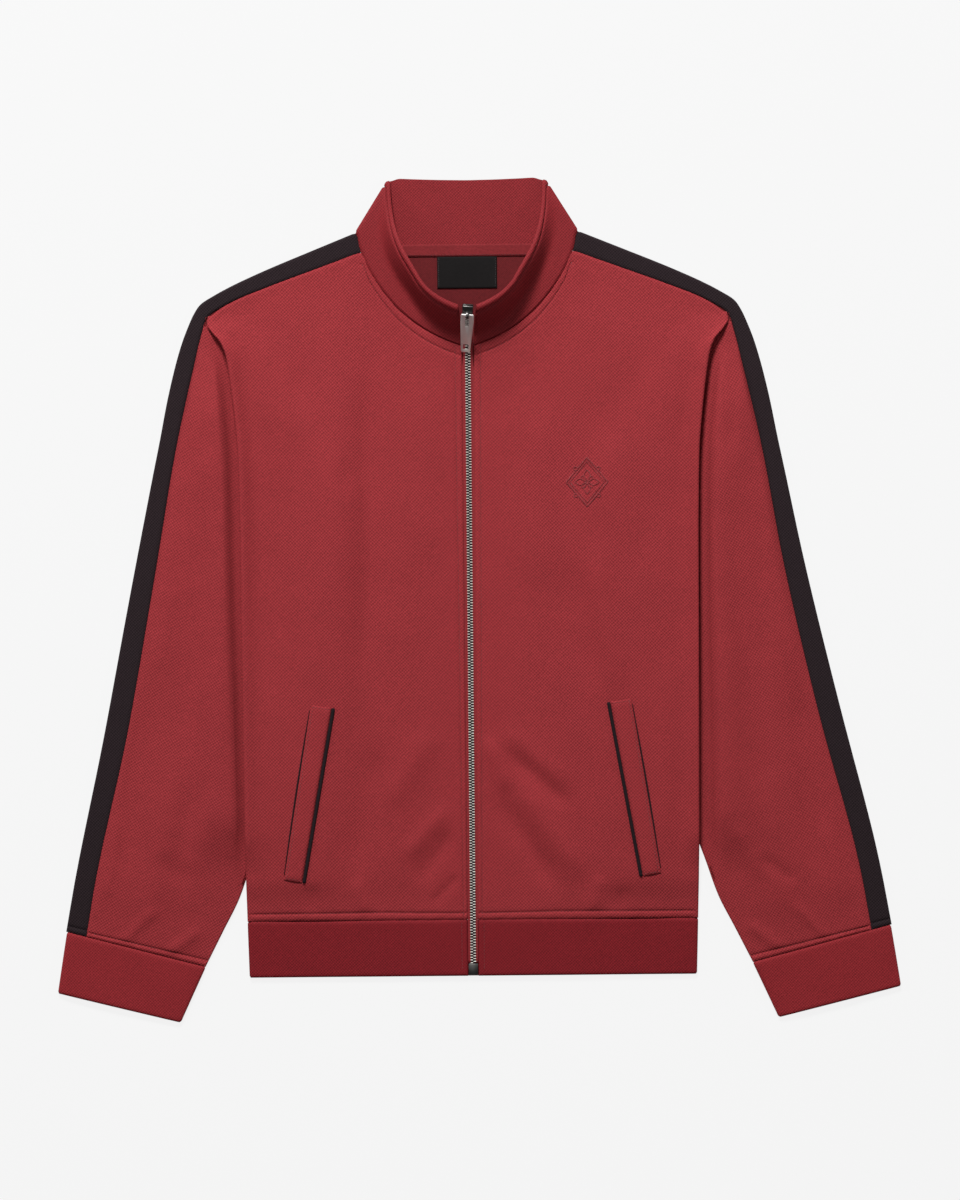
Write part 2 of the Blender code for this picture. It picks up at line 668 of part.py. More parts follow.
def flat_strip(name, corners_low, corners_high, bottom, thickness, kind):
    """A thin piece lying level, between a low and a high line of points."""
    top = bottom + thickness
    rows = [[(x, y, top) for x, y in line] for line in (corners_low, corners_high)]
    cloth(name, rows, thickness, kind, (0, (0, 0, 1)))


def make_neck_trim():
    low, high, half = TAPE
    xs = np.linspace(-half, half, 9)
    flat_strip("neck_tape", [(x, low) for x in xs], [(x, high) for x in xs], CLOTH + GAP, TRIM, "knit")
    low, high, half = LABEL
    xs = np.linspace(-half, half, 5)
    flat_strip("neck_label", [(x, low) for x in xs], [(x, high) for x in xs], CLOTH + GAP, TRIM, "label")


# ---------------------------------------------------------------- pockets

def on_front(side, x, y):
    """Height of the front's top face at a place well inside the panel."""
    return front_height(side * x, y, 1.0, 0.0)


def make_pockets():
    top, foot = WELT_SECTIONS
    for side, word in ((1, "left"), (-1, "right")):
        welt, piping = [], []
        for i in range(9):
            share = i / 8.0
            inner, outer = mix(top.inner_x, foot.inner_x, share), mix(top.outer_x, foot.outer_x, share)
            y = mix(top.y, foot.y, share)
            row = []
            for part in (0.0, 0.33, 0.67, 1.0):
                x = mix(inner, outer, part)
                level = y + WELT_SKEW * (part - 0.5)
                row.append((x, level, on_front(side, x, level) + GAP + CLOTH))
            welt.append(mirrored(row, side))
            row = []
            for part in (0.0, 0.5, 1.0):
                x, level = inner - SEAM - PIPING_WIDTH * part, y - WELT_SKEW / 2.0 - 0.6 * part
                row.append((x, level, on_front(side, x, level) + GAP + PIPING_HEIGHT))
            piping.append(mirrored(row, side))
        cloth("pocket_welt_" + word, welt, CLOTH, "knit", (0, (0, 0, 1)))
        cloth("pocket_piping_" + word, piping, PIPING_HEIGHT - 0.3, "stripe", (0, (0, 0, 1)))


# ---------------------------------------------------------------- zip

def zip_line():
    """The cloth's surface along the zip, hem to collar, as points (y, z)."""
    start = COLLAR_FRONT[0]
    lower = [HEM_Y + 12.0, HEM_SEAM_Y + 2.0, HEM_SEAM_Y + 10.0, *np.linspace(-240.0, 150.0, 9)]
    line = [(y, ZIP_EDGE_HEIGHT) for y in lower]
    upper = np.linspace(165.0, 230.0, 6)
    for y in upper:
        depth = (start.seam_y - y) / (start.seam_y - HEM_SEAM_Y)
        line.append((y, front_height(ZIP_HALF_GAP, y, depth, NECK_AIR[0][1])))
    for run, rise in collar_profile(start.plateau):
        line.append((mix(start.seam_y, start.edge_y, run), mix(start.seam_z, start.edge_z, rise)))
    y, z = zip(*line)
    levels = [*lower, *upper, *np.linspace(234.0, ZIP_TOP_Y, 9)]
    return [(float(v), float(np.interp(v, y, z))) for v in levels]


def zip_normals(line):
    """Unit normals of the line, up and away from the cloth."""
    y, z = np.array(line).T
    dy, dz = np.gradient(y), np.gradient(z)
    size = np.hypot(dy, dz)
    return list(zip(-dz / size, dy / size))


def zip_sheet(name, edges, depth, kind):
    """A strip along the zip between two x values, its top a given depth below the cloth's surface."""
    line = zip_line()
    rows = []
    for (y, z), (ny, nz), (x0, x1) in zip(line, zip_normals(line), edges(line)):
        rows.append([(mix(x0, x1, t), y - ny * depth[0], z - nz * depth[0]) for t in (0.0, 0.5, 1.0)])
    cloth(name, rows, depth[1] - depth[0], kind, (0, (0, 0, 1)))


def make_zip_strips():
    zip_sheet("zip_chain", lambda line: [(-CHAIN_HALF, CHAIN_HALF)] * len(line), CHAIN_DEPTH, "chain")
    inner, wide, narrow = TAPE_EDGES

    def tape_edges(side):
        def edges(line):
            pairs = []
            for y, _ in line:
                reach = smooth((y - HEM_SEAM_Y - 3.0) / 6.0) * (1.0 - smooth((y - 200.0) / 20.0))
                pairs.append((side * inner, side * mix(narrow, wide, reach)))
            return pairs
        return edges

    for side, word in ((1, "left"), (-1, "right")):
        zip_sheet("zip_tape_" + word, tape_edges(side), TAPE_DEPTH, "tape")


def place(obj, slope, origin):
    """Tilt about X, turn about Z, and move to its place in millimetres."""
    obj.matrix_world = (Matrix.Translation(Vector(origin) * MM) @ Matrix.Rotation(TAB_TURN, 4, "Z")
                        @ Matrix.Rotation(slope, 4, "X"))


def box(name, size, centre, bevel, kind="slider"):
    bpy.ops.mesh.primitive_cube_add(size=1.0)
    obj = bpy.context.object
    obj.name = obj.data.name = name
    for vertex in obj.data.vertices:
        vertex.co = Vector([c * s + o for c, s, o in zip(vertex.co, size, centre)]) * MM
    for collection in list(obj.users_collection):
        collection.objects.unlink(obj)
    PARTS.objects.link(obj)
    obj.data.materials.append(material(kind))
    if bevel:
        edge = obj.modifiers.new("edges", "BEVEL")
        edge.width = bevel * MM
        edge.segments = 2
    return obj


def plate(name, outlines, thickness, kind):
    """A flat outline with its holes, as a mesh centred on its own plane."""
    curve = bpy.data.curves.new(name, "CURVE")
    curve.dimensions = "2D"
    curve.fill_mode = "BOTH"
    curve.extrude = thickness * MM / 2.0
    for outline in outlines:
        spline = curve.splines.new("POLY")
        spline.points.add(len(outline) - 1)
        for point, (x, y) in zip(spline.points, outline):
            point.co = (x * MM, y * MM, 0.0, 1.0)
        spline.use_cyclic_u = True
    holder = bpy.data.objects.new(name + "_outline", curve)
    PARTS.objects.link(holder)
    bpy.context.view_layer.update()
    graph = bpy.context.evaluated_depsgraph_get()
    mesh = bpy.data.meshes.new_from_object(holder.evaluated_get(graph))
    bpy.data.objects.remove(holder)
    mesh.materials.clear()
    weld(mesh)
    return add_object(name, mesh, kind)


def weld(mesh):
    work = bmesh.new()
    work.from_mesh(mesh)
    bmesh.ops.remove_doubles(work, verts=work.verts, dist=0.00001)
    bmesh.ops.recalc_face_normals(work, faces=work.faces)
    work.to_mesh(mesh)
    work.free()


def arc_points(centre, radius, start, end, count):
    angles = np.radians(np.linspace(start, end, count))
    return [(centre[0] + radius * math.cos(a), centre[1] + radius * math.sin(a)) for a in angles]


def rounded_box(x0, y0, x1, y1, radius):
    corners = [((x1 - radius, y1 - radius), 0), ((x0 + radius, y1 - radius), 90),
               ((x0 + radius, y0 + radius), 180), ((x1 - radius, y0 + radius), 270)]
    points = []
    for centre, start in corners:
        points += arc_points(centre, radius, start, start + 90, 4)
    return points


def make_slider():
    """Two plates on a neck, with the arch that holds the pull tab."""
    width, length, thickness = SLIDER
    body = box("zip_slider", (width, length, thickness), (0.0, 0.0, 0.0), 0.9)
    grooves = []
    for side, word in ((1, "left"), (-1, "right")):
        centre = (side * (width / 4.0 + SLIDER_NECK / 2.0), 0.0, 0.0)
        grooves.append(box("groove_" + word, (width / 2.0, length * 1.2, SLIDER_GROOVE), centre, 0.0))
    arch_outline = arc_points((0.0, 0.0), BAIL_OUTER, -40.0, 220.0, 17)
    arch_outline += arc_points((0.0, 0.0), BAIL_INNER, 220.0, -40.0, 13)
    arch = plate("arch", [arch_outline], BAIL_WIDTH, "slider")
    arch_height = thickness / 2.0 + BAIL_INNER
    arch.data.transform(Matrix.Translation(Vector((0.0, -HINGE_BELOW, arch_height)) * MM)
                        @ Matrix.Rotation(math.pi / 2.0, 4, "Z") @ Matrix.Rotation(math.pi / 2.0, 4, "X"))
    for index, (operand, how) in enumerate([(g, "DIFFERENCE") for g in grooves] + [(arch, "UNION")]):
        step = body.modifiers.new("shape_%d" % index, "BOOLEAN")
        step.object = operand
        step.operation = how
        step.solver = "EXACT"
    hinge_from_centre = Matrix.Rotation(SLIDER_SLOPE, 4, "X") @ Vector((0.0, -HINGE_BELOW, arch_height))
    origin = Vector((0.0, HINGE_Y, HINGE_Z)) - Matrix.Rotation(TAB_TURN, 4, "Z") @ hinge_from_centre
    for obj in [body, arch] + grooves:
        place(obj, SLIDER_SLOPE, origin)
    for obj in [arch] + grooves:
        PARTS.objects.unlink(obj)
        CUTTERS.objects.link(obj)
        obj.hide_render = True
        obj.display_type = "WIRE"


def make_pull_tab():
    """A tapered tab with a window for the arch and a slot near its free end."""
    outline = [(-x, y) for x, y in TAB_OUTLINE] + TAB_OUTLINE[::-1]
    holes = [rounded_box(-half, low, half, high, 0.6) for half, low, high in (TAB_WINDOW, TAB_SLOT)]
    tab = plate("zip_pull_tab", [outline, *holes], TAB_THICKNESS, "tab")
    place(tab, TAB_SLOPE, (0.0, HINGE_Y, HINGE_Z))


def make_zip():
    make_zip_strips()
    make_slider()
    make_pull_tab()
    box("zip_bottom_box", BOTTOM_BOX, (0.0, BOTTOM_BOX_Y, ZIP_EDGE_HEIGHT - 1.5), 0.5)


def main():
    global PARTS, CUTTERS
    for obj in list(bpy.data.objects):
        bpy.data.objects.remove(obj)
    PARTS = bpy.data.collections.new("zip_sweatshirt")
    CUTTERS = bpy.data.collections.new("cutters")
    for collection in (PARTS, CUTTERS):
        bpy.context.scene.collection.children.link(collection)
    make_body()
    make_hem_band()
    make_arms()
    make_collar()
    make_neck_trim()
    make_pockets()
    make_zip()


main()
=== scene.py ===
"""Looks of a zip-up sweatshirt laid flat, front up: cloth, seams, stitching, zip and embroidery.

Tables are in millimetres, in the row frame: X = 0 is the zip's line, +X the wearer's left, +Y the
collar and +Z up from the surface the garment lies on.
"""
import json
import math
from collections import namedtuple

import bmesh
import bpy
import numpy as np
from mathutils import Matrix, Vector
from mathutils.bvhtree import BVHTree

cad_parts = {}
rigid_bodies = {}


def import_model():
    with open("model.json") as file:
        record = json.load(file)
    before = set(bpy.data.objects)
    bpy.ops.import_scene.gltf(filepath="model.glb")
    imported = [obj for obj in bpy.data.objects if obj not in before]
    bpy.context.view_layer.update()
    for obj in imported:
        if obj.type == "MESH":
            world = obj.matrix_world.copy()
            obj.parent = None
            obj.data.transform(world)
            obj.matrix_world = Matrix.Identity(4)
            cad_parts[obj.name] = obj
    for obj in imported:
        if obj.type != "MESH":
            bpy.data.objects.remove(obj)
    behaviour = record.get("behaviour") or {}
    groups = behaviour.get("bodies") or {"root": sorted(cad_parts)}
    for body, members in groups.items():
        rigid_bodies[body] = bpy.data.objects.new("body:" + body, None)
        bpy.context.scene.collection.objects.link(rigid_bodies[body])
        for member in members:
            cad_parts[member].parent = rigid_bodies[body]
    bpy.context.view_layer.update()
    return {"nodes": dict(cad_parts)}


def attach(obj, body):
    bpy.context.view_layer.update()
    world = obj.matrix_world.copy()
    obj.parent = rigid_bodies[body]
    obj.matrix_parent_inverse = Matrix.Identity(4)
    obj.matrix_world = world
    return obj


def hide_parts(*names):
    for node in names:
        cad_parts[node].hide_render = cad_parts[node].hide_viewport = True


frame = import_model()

MM = 0.001
JACKET = "jacket"


# ---- camera, stage and light

PIXEL = 0.92                       # mm of the garment to a photo pixel
PHOTO_TURN = math.radians(-0.52)   # the garment lies a little askew in the photo
PHOTO_CENTRE = (9.2, 1.3)
PHOTO_LENGTH = 1200.0              # pixels along its longer side
LENS = 135.0
SENSOR = 36.0
CLOTH_LEVEL = 6.0                  # height at which the scale is taken


def make_camera():
    data = bpy.data.cameras.new("camera")
    data.lens = LENS
    data.sensor_width = SENSOR
    distance = PHOTO_LENGTH * PIXEL * LENS / SENSOR
    data.clip_end = 20.0
    camera = bpy.data.objects.new("camera", data)
    camera.location = Vector((*PHOTO_CENTRE, distance + CLOTH_LEVEL)) * MM
    camera.rotation_euler = (0.0, 0.0, PHOTO_TURN)
    bpy.context.scene.collection.objects.link(camera)
    bpy.context.scene.camera = camera


WORLD_LIGHT = 0.05
WHITE = (1.0, 1.0, 1.0, 1.0)
# name, place in metres, size and power; each light points at the middle of the garment
LIGHTS = (("key", (-0.5, 2.9, 2.3), 0.8, 205.0), ("side_left", (-2.4, 0.5, 1.1), 0.5, 14.0),
          ("side_right", (2.4, 0.5, 1.1), 0.5, 14.0), ("fill", (-0.2, 0.1, 1.5), 1.0, 3.6))
FLOOR_GREY = 0.05
FLOOR_GLOW = 0.86
FLOOR_HALF = 40.0
FLOOR_Z = -0.0004


def make_lights():
    """Area lights, a faint even light from all round, and colours shown without a film look."""
    for name, location, size, power in LIGHTS:
        data = bpy.data.lights.new(name, "AREA")
        data.energy = power
        data.size = size
        light = bpy.data.objects.new(name, data)
        light.location = location
        light.rotation_euler = (-Vector(location)).to_track_quat("-Z", "Y").to_euler()
        bpy.context.scene.collection.objects.link(light)
    world = bpy.data.worlds.new("studio")
    world.use_nodes = True
    background = world.node_tree.nodes["Background"]
    background.inputs["Color"].default_value = WHITE
    background.inputs["Strength"].default_value = WORLD_LIGHT
    bpy.context.scene.world = world
    bpy.context.scene.view_settings.view_transform = "Standard"


def make_floor():
    """A wide pale floor that glows by itself, so that shadows on it stay faint."""
    mesh = bpy.data.meshes.new("floor")
    corners = [(x * FLOOR_HALF, y * FLOOR_HALF, FLOOR_Z) for x, y in ((-1, -1), (1, -1), (1, 1), (-1, 1))]
    mesh.from_pydata(corners, [], [(0, 1, 2, 3)])
    floor = bpy.data.objects.new("floor", mesh)
    bpy.context.scene.collection.objects.link(floor)
    paper = Shader("paper", (FLOOR_GREY, FLOOR_GREY, FLOOR_GREY), 1.0)
    paper.set(Emission_Color=WHITE, Emission_Strength=FLOOR_GLOW, Specular_IOR_Level=0.0)
    mesh.materials.append(paper.material)


# ---- materials

class Shader:
    """A small helper that builds the node tree of a material."""

    def __init__(self, name, colour, roughness, metallic=0.0):
        self.material = bpy.data.materials.new(name)
        self.material.use_nodes = True
        self.tree = self.material.node_tree
        self.principled = self.tree.nodes["Principled BSDF"]
        self.set(Base_Color=(*colour, 1.0), Roughness=roughness, Metallic=metallic)

    def set(self, **values):
        """Sets sockets of the shader itself; an underscore stands for a space."""
        for key, value in values.items():
            self.principled.inputs[key.replace("_", " ")].default_value = value

    def add(self, kind, inputs=(), **settings):
        node = self.tree.nodes.new(kind)
        for key, value in settings.items():
            setattr(node, key, value)
        for key, value in dict(inputs).items():
            self.put(node, key, value)
        return node

    def put(self, node, key, value):
        if isinstance(value, bpy.types.NodeSocket):
            self.tree.links.new(value, node.inputs[key])
        else:
            node.inputs[key].default_value = value

    def math(self, operation, a, b=0.0, clamp=False):
        node = self.add("ShaderNodeMath", {0: a, 1: b}, operation=operation)
        node.use_clamp = clamp
        return node.outputs[0]

    def place(self, turn=0.0):
        """Coordinates in the row frame, turned about Z, in metres."""
        where = self.add("ShaderNodeTexCoord").outputs["Object"]
        mapping = self.add("ShaderNodeMapping", {"Vector": where, "Rotation": (0.0, 0.0, turn)})
        return mapping.outputs["Vector"]

    def noise(self, vector, size_mm, detail=2.0, roughness=0.5):
        inputs = {"Vector": vector, "Scale": 1000.0 / size_mm, "Detail": detail, "Roughness": roughness}
        return self.add("ShaderNodeTexNoise", inputs).outputs["Fac"]

    def lines(self, vector, pitch_mm):
        """Soft, slightly broken lines along Y at a pitch, 0 to 1."""
        inputs = {"Vector": vector, "Scale": 2.0 * math.pi / (pitch_mm * MM * 20.0), "Distortion": 1.3,
                  "Detail": 1.0, "Detail Scale": 1.5}
        node = self.add("ShaderNodeTexWave", inputs, wave_type="BANDS", bands_direction="X",
                        wave_profile="SIN")
        return node.outputs["Fac"]

    def colour(self, factor, low, high):
        node = self.add("ShaderNodeMix", {0: factor, 6: (*low, 1.0), 7: (*high, 1.0)}, data_type="RGBA")
        self.put(self.principled, "Base Color", node.outputs[2])

    def bump(self, height, depth_mm):
        node = self.add("ShaderNodeBump", {"Height": height, "Distance": depth_mm * MM, "Strength": 1.0})
        self.put(self.principled, "Normal", node.outputs["Normal"])


def scaled(colour, factor):
    return tuple(min(c * factor, 1.0) for c in colour)


def cloth_material(name, colour, pitch, turn, bump, contrast, sheen=0.12, roughness=0.85):
    """Fine diagonal rib of the knit: lines one way, broken by finer lines the other way, and loose fibre."""
    s = Shader(name, colour, roughness)
    along = s.place(turn)
    ribs = s.lines(s.place(turn + math.radians(45.0)), pitch)
    loops = s.lines(s.place(turn - math.radians(45.0)), pitch * 0.9)
    weave = s.math("ADD", s.math("MULTIPLY", ribs, 0.54), s.math("MULTIPLY", loops, 0.46))
    grain = s.noise(along, 1.7, 3.0, 0.6)
    mottle = s.noise(along, 30.0, 4.0, 0.6)
    tone = s.math("ADD", s.math("MULTIPLY", weave, contrast), s.math("MULTIPLY", grain, 1.0))
    tone = s.math("ADD", tone, s.math("MULTIPLY", mottle, 0.2))
    tone = s.math("ADD", tone, -0.1 - contrast / 2.0, clamp=True)
    s.colour(tone, scaled(colour, 0.62), scaled(colour, 1.38))
    s.bump(s.math("ADD", weave, s.math("MULTIPLY", grain, 0.5)), bump)
    s.set(Sheen_Weight=sheen, Sheen_Roughness=0.45, Sheen_Tint=(*scaled(colour, 2.4), 1.0),
          Specular_IOR_Level=0.12)
    return s.material


def thread_material(name, colour, roughness=0.8):
    s = Shader(name, colour, roughness)
    s.colour(s.noise(s.place(), 0.35), scaled(colour, 0.75), scaled(colour, 1.2))
    s.set(Specular_IOR_Level=0.1, Sheen_Weight=0.2)
    return s.material


def metal_material(name, dark, light, roughness, brushed=False):
    """Metal with fine wear: brushed along Y, or mottled."""
    s = Shader(name, light, roughness, metallic=1.0)
    where = s.place()
    if brushed:
        where = s.add("ShaderNodeMapping", {"Vector": where, "Scale": (1.0, 0.06, 1.0)}).outputs["Vector"]
    grain = s.noise(where, 0.25, 3.0, 0.6)
    s.colour(grain, dark, light)
    s.put(s.principled, "Roughness", s.math("ADD", s.math("MULTIPLY", grain, 0.2), roughness - 0.1))
    s.bump(grain, 0.02)
    return s.material


RED = (0.232, 0.0226, 0.0268)
RED_BAND = (0.158, 0.0085, 0.0125)
RED_CUFF = (0.205, 0.0150, 0.0190)
# the collar's knit, darker than RED: painted shade, so that the collar's steep fronts look shaded
RED_COLLAR_PAINTED_SHADE = (0.176, 0.0132, 0.0166)
BLACK = (0.0160, 0.0095, 0.0115)
LABEL_BLACK = (0.0070, 0.0060, 0.0060)
SLEEVE_TURN = math.radians(12.5)

# cloth: name, colour, pitch of the rib in mm, turn of the cloth, depth of the relief in mm, contrast
LOOKS = {
    "body": cloth_material("knit_body", RED, 2.3, 0.0, 0.24, 0.9),
    "sleeve_left": cloth_material("knit_sleeve_left", RED, 2.3, -SLEEVE_TURN, 0.24, 0.8),
    "sleeve_right": cloth_material("knit_sleeve_right", RED, 2.3, SLEEVE_TURN, 0.24, 0.8),
    "band": cloth_material("knit_band", RED_BAND, 2.1, 0.0, 0.14, 0.9, roughness=0.75),
    "cuff": cloth_material("knit_cuff", RED_CUFF, 2.1, 0.0, 0.14, 0.8, roughness=0.75),
    "collar": cloth_material("knit_collar", RED_COLLAR_PAINTED_SHADE, 2.1, 0.0, 0.18, 0.9, sheen=0.02, roughness=0.7),
    # the knit's reverse side, with the collar's shade over the back inside the neck painted into its colour
    # as well
    "inside": cloth_material("knit_inside_and_painted_shade", scaled(RED, 0.42), 1.5, 0.0, 0.10, 0.5),
    "neck_tape": cloth_material("knit_neck_tape", scaled(RED, 0.72), 1.4, math.radians(20.0), 0.10, 0.5),
    "stripe": cloth_material("knit_stripe", scaled(BLACK, 0.95), 2.1, 0.0, 0.22, 1.6, sheen=0.1),
    "piping": cloth_material("knit_piping", scaled(BLACK, 0.7), 0.9, 0.0, 0.06, 0.4, sheen=0.08),
    "label": cloth_material("label_weave", LABEL_BLACK, 0.8, math.radians(45.0), 0.05, 0.5, sheen=0.05),
    "tape": cloth_material("zip_tape_weave", scaled(RED, 0.9), 0.8, 0.0, 0.08, 0.6, sheen=0.1),
    # tone-on-tone thread, made half as bright as the cloth: painted shade of the stitch grooves
    "thread": thread_material("thread_red_painted_shade", scaled(RED, 0.5)),
    "thread_dark": thread_material("thread_black", scaled(BLACK, 1.6)),
    "motif": thread_material("thread_motif", scaled(RED, 0.94), 0.7),
    "core": cloth_material("zip_core", scaled(BLACK, 0.5), 0.8, 0.0, 0.05, 0.3, sheen=0.05),
    "teeth": metal_material("antique_silver", (0.72, 0.69, 0.64), (0.97, 0.94, 0.89), 0.45),
    "slider": metal_material("gunmetal", (0.045, 0.043, 0.042), (0.14, 0.135, 0.13), 0.38),
    "puller": metal_material("brushed_silver", (0.80, 0.78, 0.75), (0.97, 0.95, 0.92), 0.58, brushed=True),
}


# ---- sizes of the garment

# Cloth
CLOTH = 1.2            # body and sleeve knit
BAND = 1.6             # doubled jersey of the hem band and cuffs
COLLAR = 2.2           # doubled collar
TRIM = 1.0             # neck tape and label
GAP = 0.4              # between layers that lie on each other
SEAM = 0.3             # between pieces at a seam
HIDDEN_SEAM = 0.8      # half of it, where the seam lies under the body

# Heights of the folded edges, outside to outside
SHOULDER_FOLD = 4.0
SLEEVE_PRESSED = 2.9   # the sleeve's two layers where the body lies on it
UNDER_BODY = SLEEVE_PRESSED + GAP
CUFF_FOLD = 4.4
CUFF_PUFF = 1.2        # rise in the middle of the cuff

# Body
ZIP_HALF_GAP = 5.0     # from the zip's line to a front's folded edge
HEM_SEAM_Y = -293.0
HEM_Y = -344.5
ZIP_EDGE_HEIGHT = 4.8  # top of the front's edge along the zip
SHOULDER_HEIGHT = 4.0  # top of the front's edge along the shoulder
RAMP = 45.0            # width over which the fronts come down beside the folded sides

# Each front turns under at its side; the turn starts below the shoulder's tip
TIP_Y = 264.5
LIFT_DISTANCE = 14.0         # the front climbs onto the sleeve over this distance
FRONT_TURN = (257.0, 27.0)   # y where the turn starts, and the distance to a full half turn
FRONT_FOLD = 2.2             # outside radius of the front's side fold
BAND_FOLD = 2.2
SLEEVE_LEAVES_Y = -252.0     # below this the sleeve lies beside the body

# Neck
COLLAR_FOLD = 2.5            # outside radius of the collar's side folds
COLLAR_TUCK = 1.2            # the collar's seam edge lies this far inside the neck seam
TAPE = (318.0, 325.6, 80.0)  # low edge, high edge, half length
LABEL = (288.5, 317.6, 27.5)

# Zip
CHAIN_HALF = 2.65
CHAIN_DEPTH = (0.4, 2.4)     # below the cloth's surface: top and underside
TAPE_DEPTH = (1.6, 2.6)
TAPE_EDGES = (15.0, 4.65)    # outer edge under the front and in the bands
ZIP_TOP_Y = 260.9

Outline = namedtuple("Outline", "outer_x outer_y seam_x seam_y")
STRIPE_OUTLINE = [Outline(*row) for row in (
    # from the neck along the shoulder and down the sleeve's outer edge to the cuff
    (103.5, 340, 98, 322), (154, 319.6, 147.5, 304.3), (194, 303, 187.5, 289.8),
    (228.5, 286.3, 222, 275.3), (246.5, 275, 239, 264.5), (257, 256, 244.5, 250.5),
    (268.6, 222.2, 252.5, 218.5), (284.7, 148.6, 269, 145.5), (307.3, 38.2, 288.8, 34.5),
    (339, -109.1, 318.8, -113), (372.1, -256.3, 353.8, -260), (380, -300.4, 361.5, -305.3),
)]

Sleeve = namedtuple("Sleeve", "seam_y inner_x inner_y puff")
SLEEVE_SECTIONS = [Sleeve(*row) for row in (
    # from the shoulder's tip to the cuff: where a section meets the stripe's seam, and its inner end,
    # which is the armhole seam down to the underarm and the sleeve's inner fold from there
    (258, 234, 254, 0), (250.5, 222, 242, 0.6), (218.5, 198, 206, 2.4), (145.5, 160, 150, 3.4),
    (90, 121, 89, 3.6), (65, 131, 64, 3.6), (34.5, 139, 33, 3.6), (-113, 173, -116, 3.4),
    (-191, 196.5, -204, 3.2), (-260, 220.5, -272, 2.6), (-305.3, 251.9, -334, 0.8),
)]
UNDERARM_Y = 89.0
ARM_LEAN = 5.5         # both cuffs lie this far towards the wearer's left
LEAN_FROM = (70.0, 320.0)    # y where the lean begins, and the distance to its full amount

Cuff = namedtuple("Cuff", "outer_x outer_y inner_x inner_y")
CUFF_SECTIONS = [Cuff(*row) for row in (
    (379.3, -301, 251.8, -334.4), (383.5, -327, 262.5, -357.5), (388.2, -357.3, 275.3, -385.3),
)]

Point = namedtuple("Point", "x y")
SIDE_FOLD = [Point(*row) for row in (
    (239.3, 264.5), (240.4, 257.5), (235.4, 249), (226, 238), (220.5, 215), (216.5, 185), (213, 150),
    (211, 80), (210.5, 0), (209.5, -150), (208.4, -256), (207.5, -294), (206, -345),
)]
SIDE_SEAM = [Point(*row) for row in (
    # the armhole seam from the shoulder's tip to the underarm, then the side seam to the hem
    (239, 264.5), (234, 254), (222, 242), (198, 206), (160, 150), (121, 89), (131, -20), (153, -294),
    (153, -345),
)]
BACK_NECK = [Point(*row) for row in (
    (0, 326), (35, 326), (69, 326), (88, 325.4), (97.4, 322),
)]
# air under the front along its top edge, from the zip to the shoulder: x and height
NECK_AIR = [(5.0, 4.2), (40.0, 4.0), (80.0, 3.0), (98.0, 1.4), (240.0, 1.2)]

CollarStation = namedtuple("CollarStation", "seam_x seam_y seam_z edge_x edge_y edge_z plateau")
COLLAR_FRONT = [CollarStation(*row) for row in (
    # from the zip to the collar's side fold; plateau is the share of the width that lies low
    (5.6, 234.8, 7, 8.4, 270.5, 38, 0.10), (23.9, 241.9, 7, 23.9, 277.4, 38.5, 0.14),
    (40.7, 251, 6.8, 38.8, 288.7, 37.5, 0.26), (59.7, 265.4, 6.4, 51.2, 308.6, 34, 0.36),
    (78.7, 287.1, 5.8, 62.2, 330, 27, 0.42), (97.4, 322, 5.2, 69.8, 365, 11.5, 0.50),
    (101.4, 338.6, 5, 70.8, 387.6, 5, 0.50),
)]
COLLAR_BACK = [CollarStation(*row) for row in (
    # from the side fold to the middle of the back
    (101.4, 338.6, 0, 70.8, 387.6, 0, 0.50), (91, 328.6, 0, 63, 389.6, 0, 0.50),
    (66, 326.6, 0, 48, 389.2, 0, 0.50), (33, 326.4, 0, 24, 388.4, 0, 0.50),
    (0, 326.3, 0, 0, 388, 0, 0.50),
)]
PLATEAU_RISE = 0.04
COLLAR_COLUMNS = (14, 7)     # in the front half and in the back half
# shares of the steep part of the collar, from the plateau to the edge
COLLAR_STEPS = (0.0, 0.15, 0.32, 0.5, 0.68, 0.85, 1.0)

Welt = namedtuple("Welt", "inner_x outer_x y")
WELT_SECTIONS = [Welt(128.3, 147.2, -95.3), Welt(156.9, 173.4, -255.8)]
WELT_SKEW = 2.8        # the welt's ends slope up towards the side
PIPING_WIDTH = 3.2


# ---- coarse form of each piece, the same as its solid's

def smooth(t):
    """0 to 1 with level ends."""
    t = np.clip(t, 0.0, 1.0)
    return t * t * (3.0 - 2.0 * t)


def mix(a, b, t):
    return a + (b - a) * t


def distances(points, least=0.0):
    """Distance travelled along a line of points or, as a mean, down the columns of a grid.

    No step counts as shorter than the least one.
    """
    steps = np.linalg.norm(np.diff(points, axis=0), axis=-1)
    if steps.ndim > 1:
        steps = steps.mean(axis=1)
    return np.concatenate([[0.0], np.cumsum(np.maximum(steps, least))])


def at_places(targets, where, line):
    return np.stack([np.interp(targets, where, column) for column in line.T], axis=1)


def hermite(a, b, slope_a, slope_b, t):
    return ((2 * t ** 3 - 3 * t ** 2 + 1) * a + (t ** 3 - 2 * t ** 2 + t) * slope_a
            + (-2 * t ** 3 + 3 * t ** 2) * b + (t ** 3 - t ** 2) * slope_b)


def sampled(points, count):
    """Points at even distances along a smooth curve through the given ones."""
    knots = np.array(points, dtype=float)
    where = distances(knots[:, :2], 1e-6)
    slopes = np.gradient(knots, where, axis=0)
    fine = []
    for i, span in enumerate(np.diff(where)):
        for t in np.linspace(0.0, 1.0, 24, endpoint=False):
            fine.append(hermite(knots[i], knots[i + 1], slopes[i] * span, slopes[i + 1] * span, t))
    fine = np.array(fine + [knots[-1]])
    lengths = distances(fine[:, :2])
    return at_places(np.linspace(0.0, lengths[-1], count), lengths, fine)


